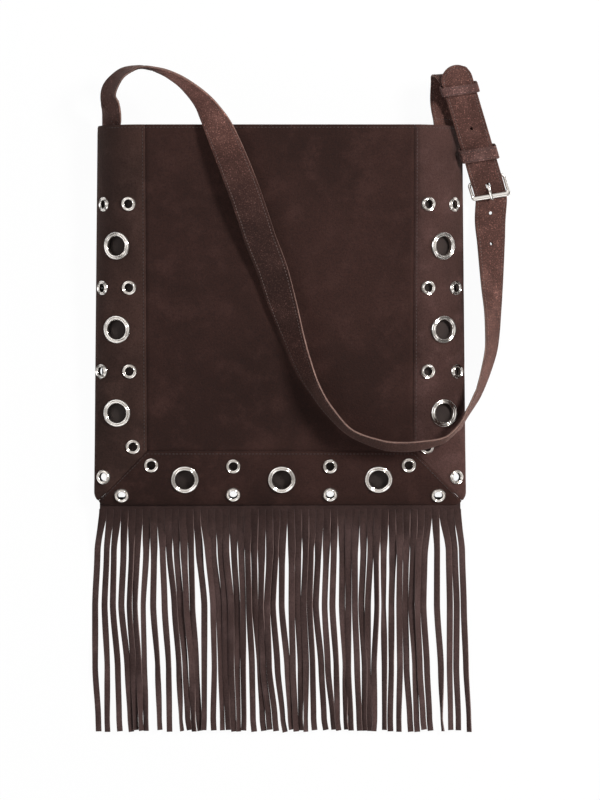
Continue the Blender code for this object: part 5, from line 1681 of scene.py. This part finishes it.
# The keepers: closed loops of the strap's suede round both layers, stitched along both edges. The
# wide one is sewn in place close to the buckle, and the narrow one slides between it and the tip.
KEEPER_SHEET = 0.0018
KEEPER_CLEARANCE = 0.0004
FIXED_KEEPER_U = 0.0280
FIXED_KEEPER_WIDTH = 0.0130
SLIDING_KEEPER_U = 0.0946
SLIDING_KEEPER_WIDTH = 0.0090
KEEPER_CORNER = 0.0022
KEEPER_RISE = 0.0014
KEEPER_SKEW = math.tan(math.radians(9.0))
KEEPER_PITCH = 0.0026
KEEPER_STITCH = (0.0019, 0.0006, 0.0006)


def keeper_stands(along):
    """Centre, width direction and normal round a keeper's middle, with rounded corners."""
    half_w = STRAP_WIDTH / 2 + KEEPER_CLEARANCE + 0.0008 + KEEPER_SHEET / 2
    low = RETURN_N - STRAP / 2 - KEEPER_CLEARANCE - KEEPER_SHEET / 2
    high = BILLET_N + STRAP / 2 + KEEPER_CLEARANCE + KEEPER_RISE + KEEPER_SHEET / 2
    line = []
    for w_side, n_side, start in ((1, 1, 0), (-1, 1, 90), (-1, -1, 180), (1, -1, 270)):
        edge = high if n_side > 0 else low
        middle = Vector((w_side * (half_w - KEEPER_CORNER), edge - n_side * KEEPER_CORNER))
        for step in range(7):
            angle = math.radians(start + 15 * step)
            out = Vector((math.cos(angle), math.sin(angle)))
            line.append((middle + KEEPER_CORNER * out, out))
        if start in (0, 180):
            for share in (0.2, 0.4, 0.6, 0.8):
                flat = w_side * (half_w - KEEPER_CORNER) * (1 - 2 * share)
                sag = 0.00018 * math.sin(math.pi * share)
                line.append((Vector((flat, middle.y + n_side * (KEEPER_CORNER - sag))), Vector((0, n_side))))
    turn = at_buckle.to_3x3()
    stands = []
    for spot, out in line:
        centre = at_buckle @ Vector((along - KEEPER_SKEW * spot.x, spot.x, spot.y))
        stands.append((centre, turn.col[0].normalized(), (turn @ Vector((0, out.x, out.y))).normalized()))
    return stands


KEEPER_SECTION = (
    (-1.0, 0.5), (-0.96, 0.9), (-0.84, 1.0), (-0.70, 0.9), (-0.5, 1.0),
    (0.5, 1.0), (0.70, 0.9), (0.84, 1.0), (0.96, 0.9), (1.0, 0.5),
)
keeper_suede = suede(
    "keeper_suede",
    dark=(0.052, 0.0255, 0.021),
    middle=(0.082, 0.041, 0.036),
    light=(0.130, 0.070, 0.062),
    grain=2.6,
    sheen=0.12,
    fleck_scale=800.0,
)
paints = (keeper_suede, keeper_suede)
for name, node, along, width, body in (
    ("keeper_fixed_suede", "keeper_fixed", FIXED_KEEPER_U, FIXED_KEEPER_WIDTH, "bag"),
    ("keeper_sliding_suede", "keeper_sliding", SLIDING_KEEPER_U, SLIDING_KEEPER_WIDTH, "keeper"),
):
    stands = keeper_stands(along)
    halves = [width / 2] * len(stands)
    keeper = strap_mesh(name, stands, halves, KEEPER_SHEET, KEEPER_SECTION, paints, closed=True)
    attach(keeper, body)
    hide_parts(node)
    rows = []
    row_out = KEEPER_SHEET / 2 * 0.92 + 0.00006
    for side in (-1, 1):
        rows.append([c + a * side * (width / 2 * 0.72) + n * row_out for c, a, n in stands[4:15]])
    row = sewn(node, rows, KEEPER_PITCH, KEEPER_STITCH, brown_thread)
    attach(row, body)

# The buckle: a cast frame of nickel-plated metal, its front bar broad and its pivot bar round, and
# a prong bent round the pivot bar whose tip rests on the front bar.
FRONT_BAR_HALF_WIDTH = 0.0026
SIDE_BAR_HALF_WIDTH = 0.0014
FRAME_SIDE_CLEARANCE = 0.0008
FRAME_CORNER = 0.0030
FRAME_SLANT = math.tan(math.radians(8.0))
PRONG_THICKNESS = 0.0020


def swept_metal(name, rings, closed):
    """A smooth metal bar through rings of points."""
    count = len(rings[0])
    points = [tuple(point) for ring in rings for point in ring]
    faces = ring_faces(len(rings), count, closed)
    if not closed:
        last = (len(rings) - 1) * count
        faces += [tuple(range(count)), tuple(last + i for i in range(count))]
    return made_piece(name, points, faces, 50, (polished_nickel,))


def frame_rings():
    """Rings round the frame: an oval section, broad and nearly flat-topped along the front bar."""
    side_w = STRAP_WIDTH / 2 + FRAME_SIDE_CLEARANCE + SIDE_BAR_HALF_WIDTH
    path = []
    pivot_u = -FRAME_CORNER
    front_u = -BAR_SPACING + FRAME_CORNER
    middle_w = side_w - FRAME_CORNER
    corners = [(pivot_u, middle_w), (front_u, middle_w), (front_u, -middle_w), (pivot_u, -middle_w)]
    for start, corner in zip((0, 90, 180, 270), corners):
        middle = Vector(corner)
        for step in range(10):
            angle = math.radians(start + 10 * step)
            path.append(middle + FRAME_CORNER * Vector((math.cos(angle), math.sin(angle))))
    place = at_buckle @ Matrix.Rotation(FRAME_LIFT, 4, "Y")
    rings = []
    for i, spot in enumerate(path):
        along = (path[(i + 1) % len(path)] - path[i - 1]).normalized()
        outwards = Vector((along.y, -along.x))
        broad = smooth(-spot.x, BAR_SPACING - FRAME_CORNER, BAR_SPACING - 0.0004)
        half = blend(SIDE_BAR_HALF_WIDTH, FRONT_BAR_HALF_WIDTH, broad)
        ring = []
        for step in range(20):
            angle = 2 * math.pi * step / 20
            c, s = math.cos(angle), math.sin(angle)
            across = half * math.copysign(abs(c) ** 0.85, c)
            u, w = spot.x + across * outwards.x, spot.y + across * outwards.y
            slant = FRAME_SLANT * w * max(0.0, -spot.x / BAR_SPACING)
            ring.append(place @ Vector((u - slant, w, PIVOT_RADIUS * math.copysign(abs(s) ** 0.9, s))))
        rings.append(ring)
    return rings


buckle = swept_metal("buckle_frame_metal", frame_rings(), True)
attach(buckle, "frame")
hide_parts("buckle_frame")


def prong_rings():
    """Rings along the prong: an eye round the pivot bar, a hump over the strap and a blunt tip."""
    inner = PIVOT_RADIUS + GAP
    eye = inner + PRONG_THICKNESS * 0.35
    tip_n = FRONT_BAR_N + PIVOT_RADIUS + GAP + PRONG_THICKNESS / 2
    turns = [math.radians(a) for a in range(105, -216, -15)]
    places = [(eye * math.cos(turn), eye * math.sin(turn)) for turn in turns]
    places += [(-0.0034, 0.0034), (-0.0062, 0.0051), (-0.0100, tip_n + 0.0004), (-0.0135, tip_n + 0.0002)]
    places += [(-BAR_SPACING, tip_n), (-BAR_SPACING - 0.0020, tip_n - 0.0004)]
    places += [(-BAR_SPACING - 0.0030, tip_n - 0.0008)]
    line = smooth_line([Vector(place) for place in places], 3)
    rings = []
    total = len(line) - 1
    for i, spot in enumerate(line):
        along = (line[min(i + 1, total)] - line[max(i - 1, 0)]).normalized()
        normal = Vector((along.y, -along.x))
        thick = blend(PRONG_THICKNESS * 0.35, PRONG_THICKNESS / 2, smooth(i, 62, 72))
        thick *= blend(1.0, 0.45, smooth(i, total - 4, total))
        half = PRONG_WIDTH / 2 * blend(1.0, 0.72, smooth(i, total - 5, total))
        ring = []
        for step in range(16):
            angle = 2 * math.pi * step / 16
            c, s = math.cos(angle), math.sin(angle)
            w = half * math.copysign(abs(c) ** 0.6, c)
            off = normal * thick * math.copysign(abs(s) ** 0.6, s)
            ring.append(at_buckle @ Vector((spot.x + off.x, w, spot.y + off.y)))
        rings.append(ring)
    return rings


prong = swept_metal("buckle_prong_metal", prong_rings(), False)
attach(prong, "prong")
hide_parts("buckle_prong")
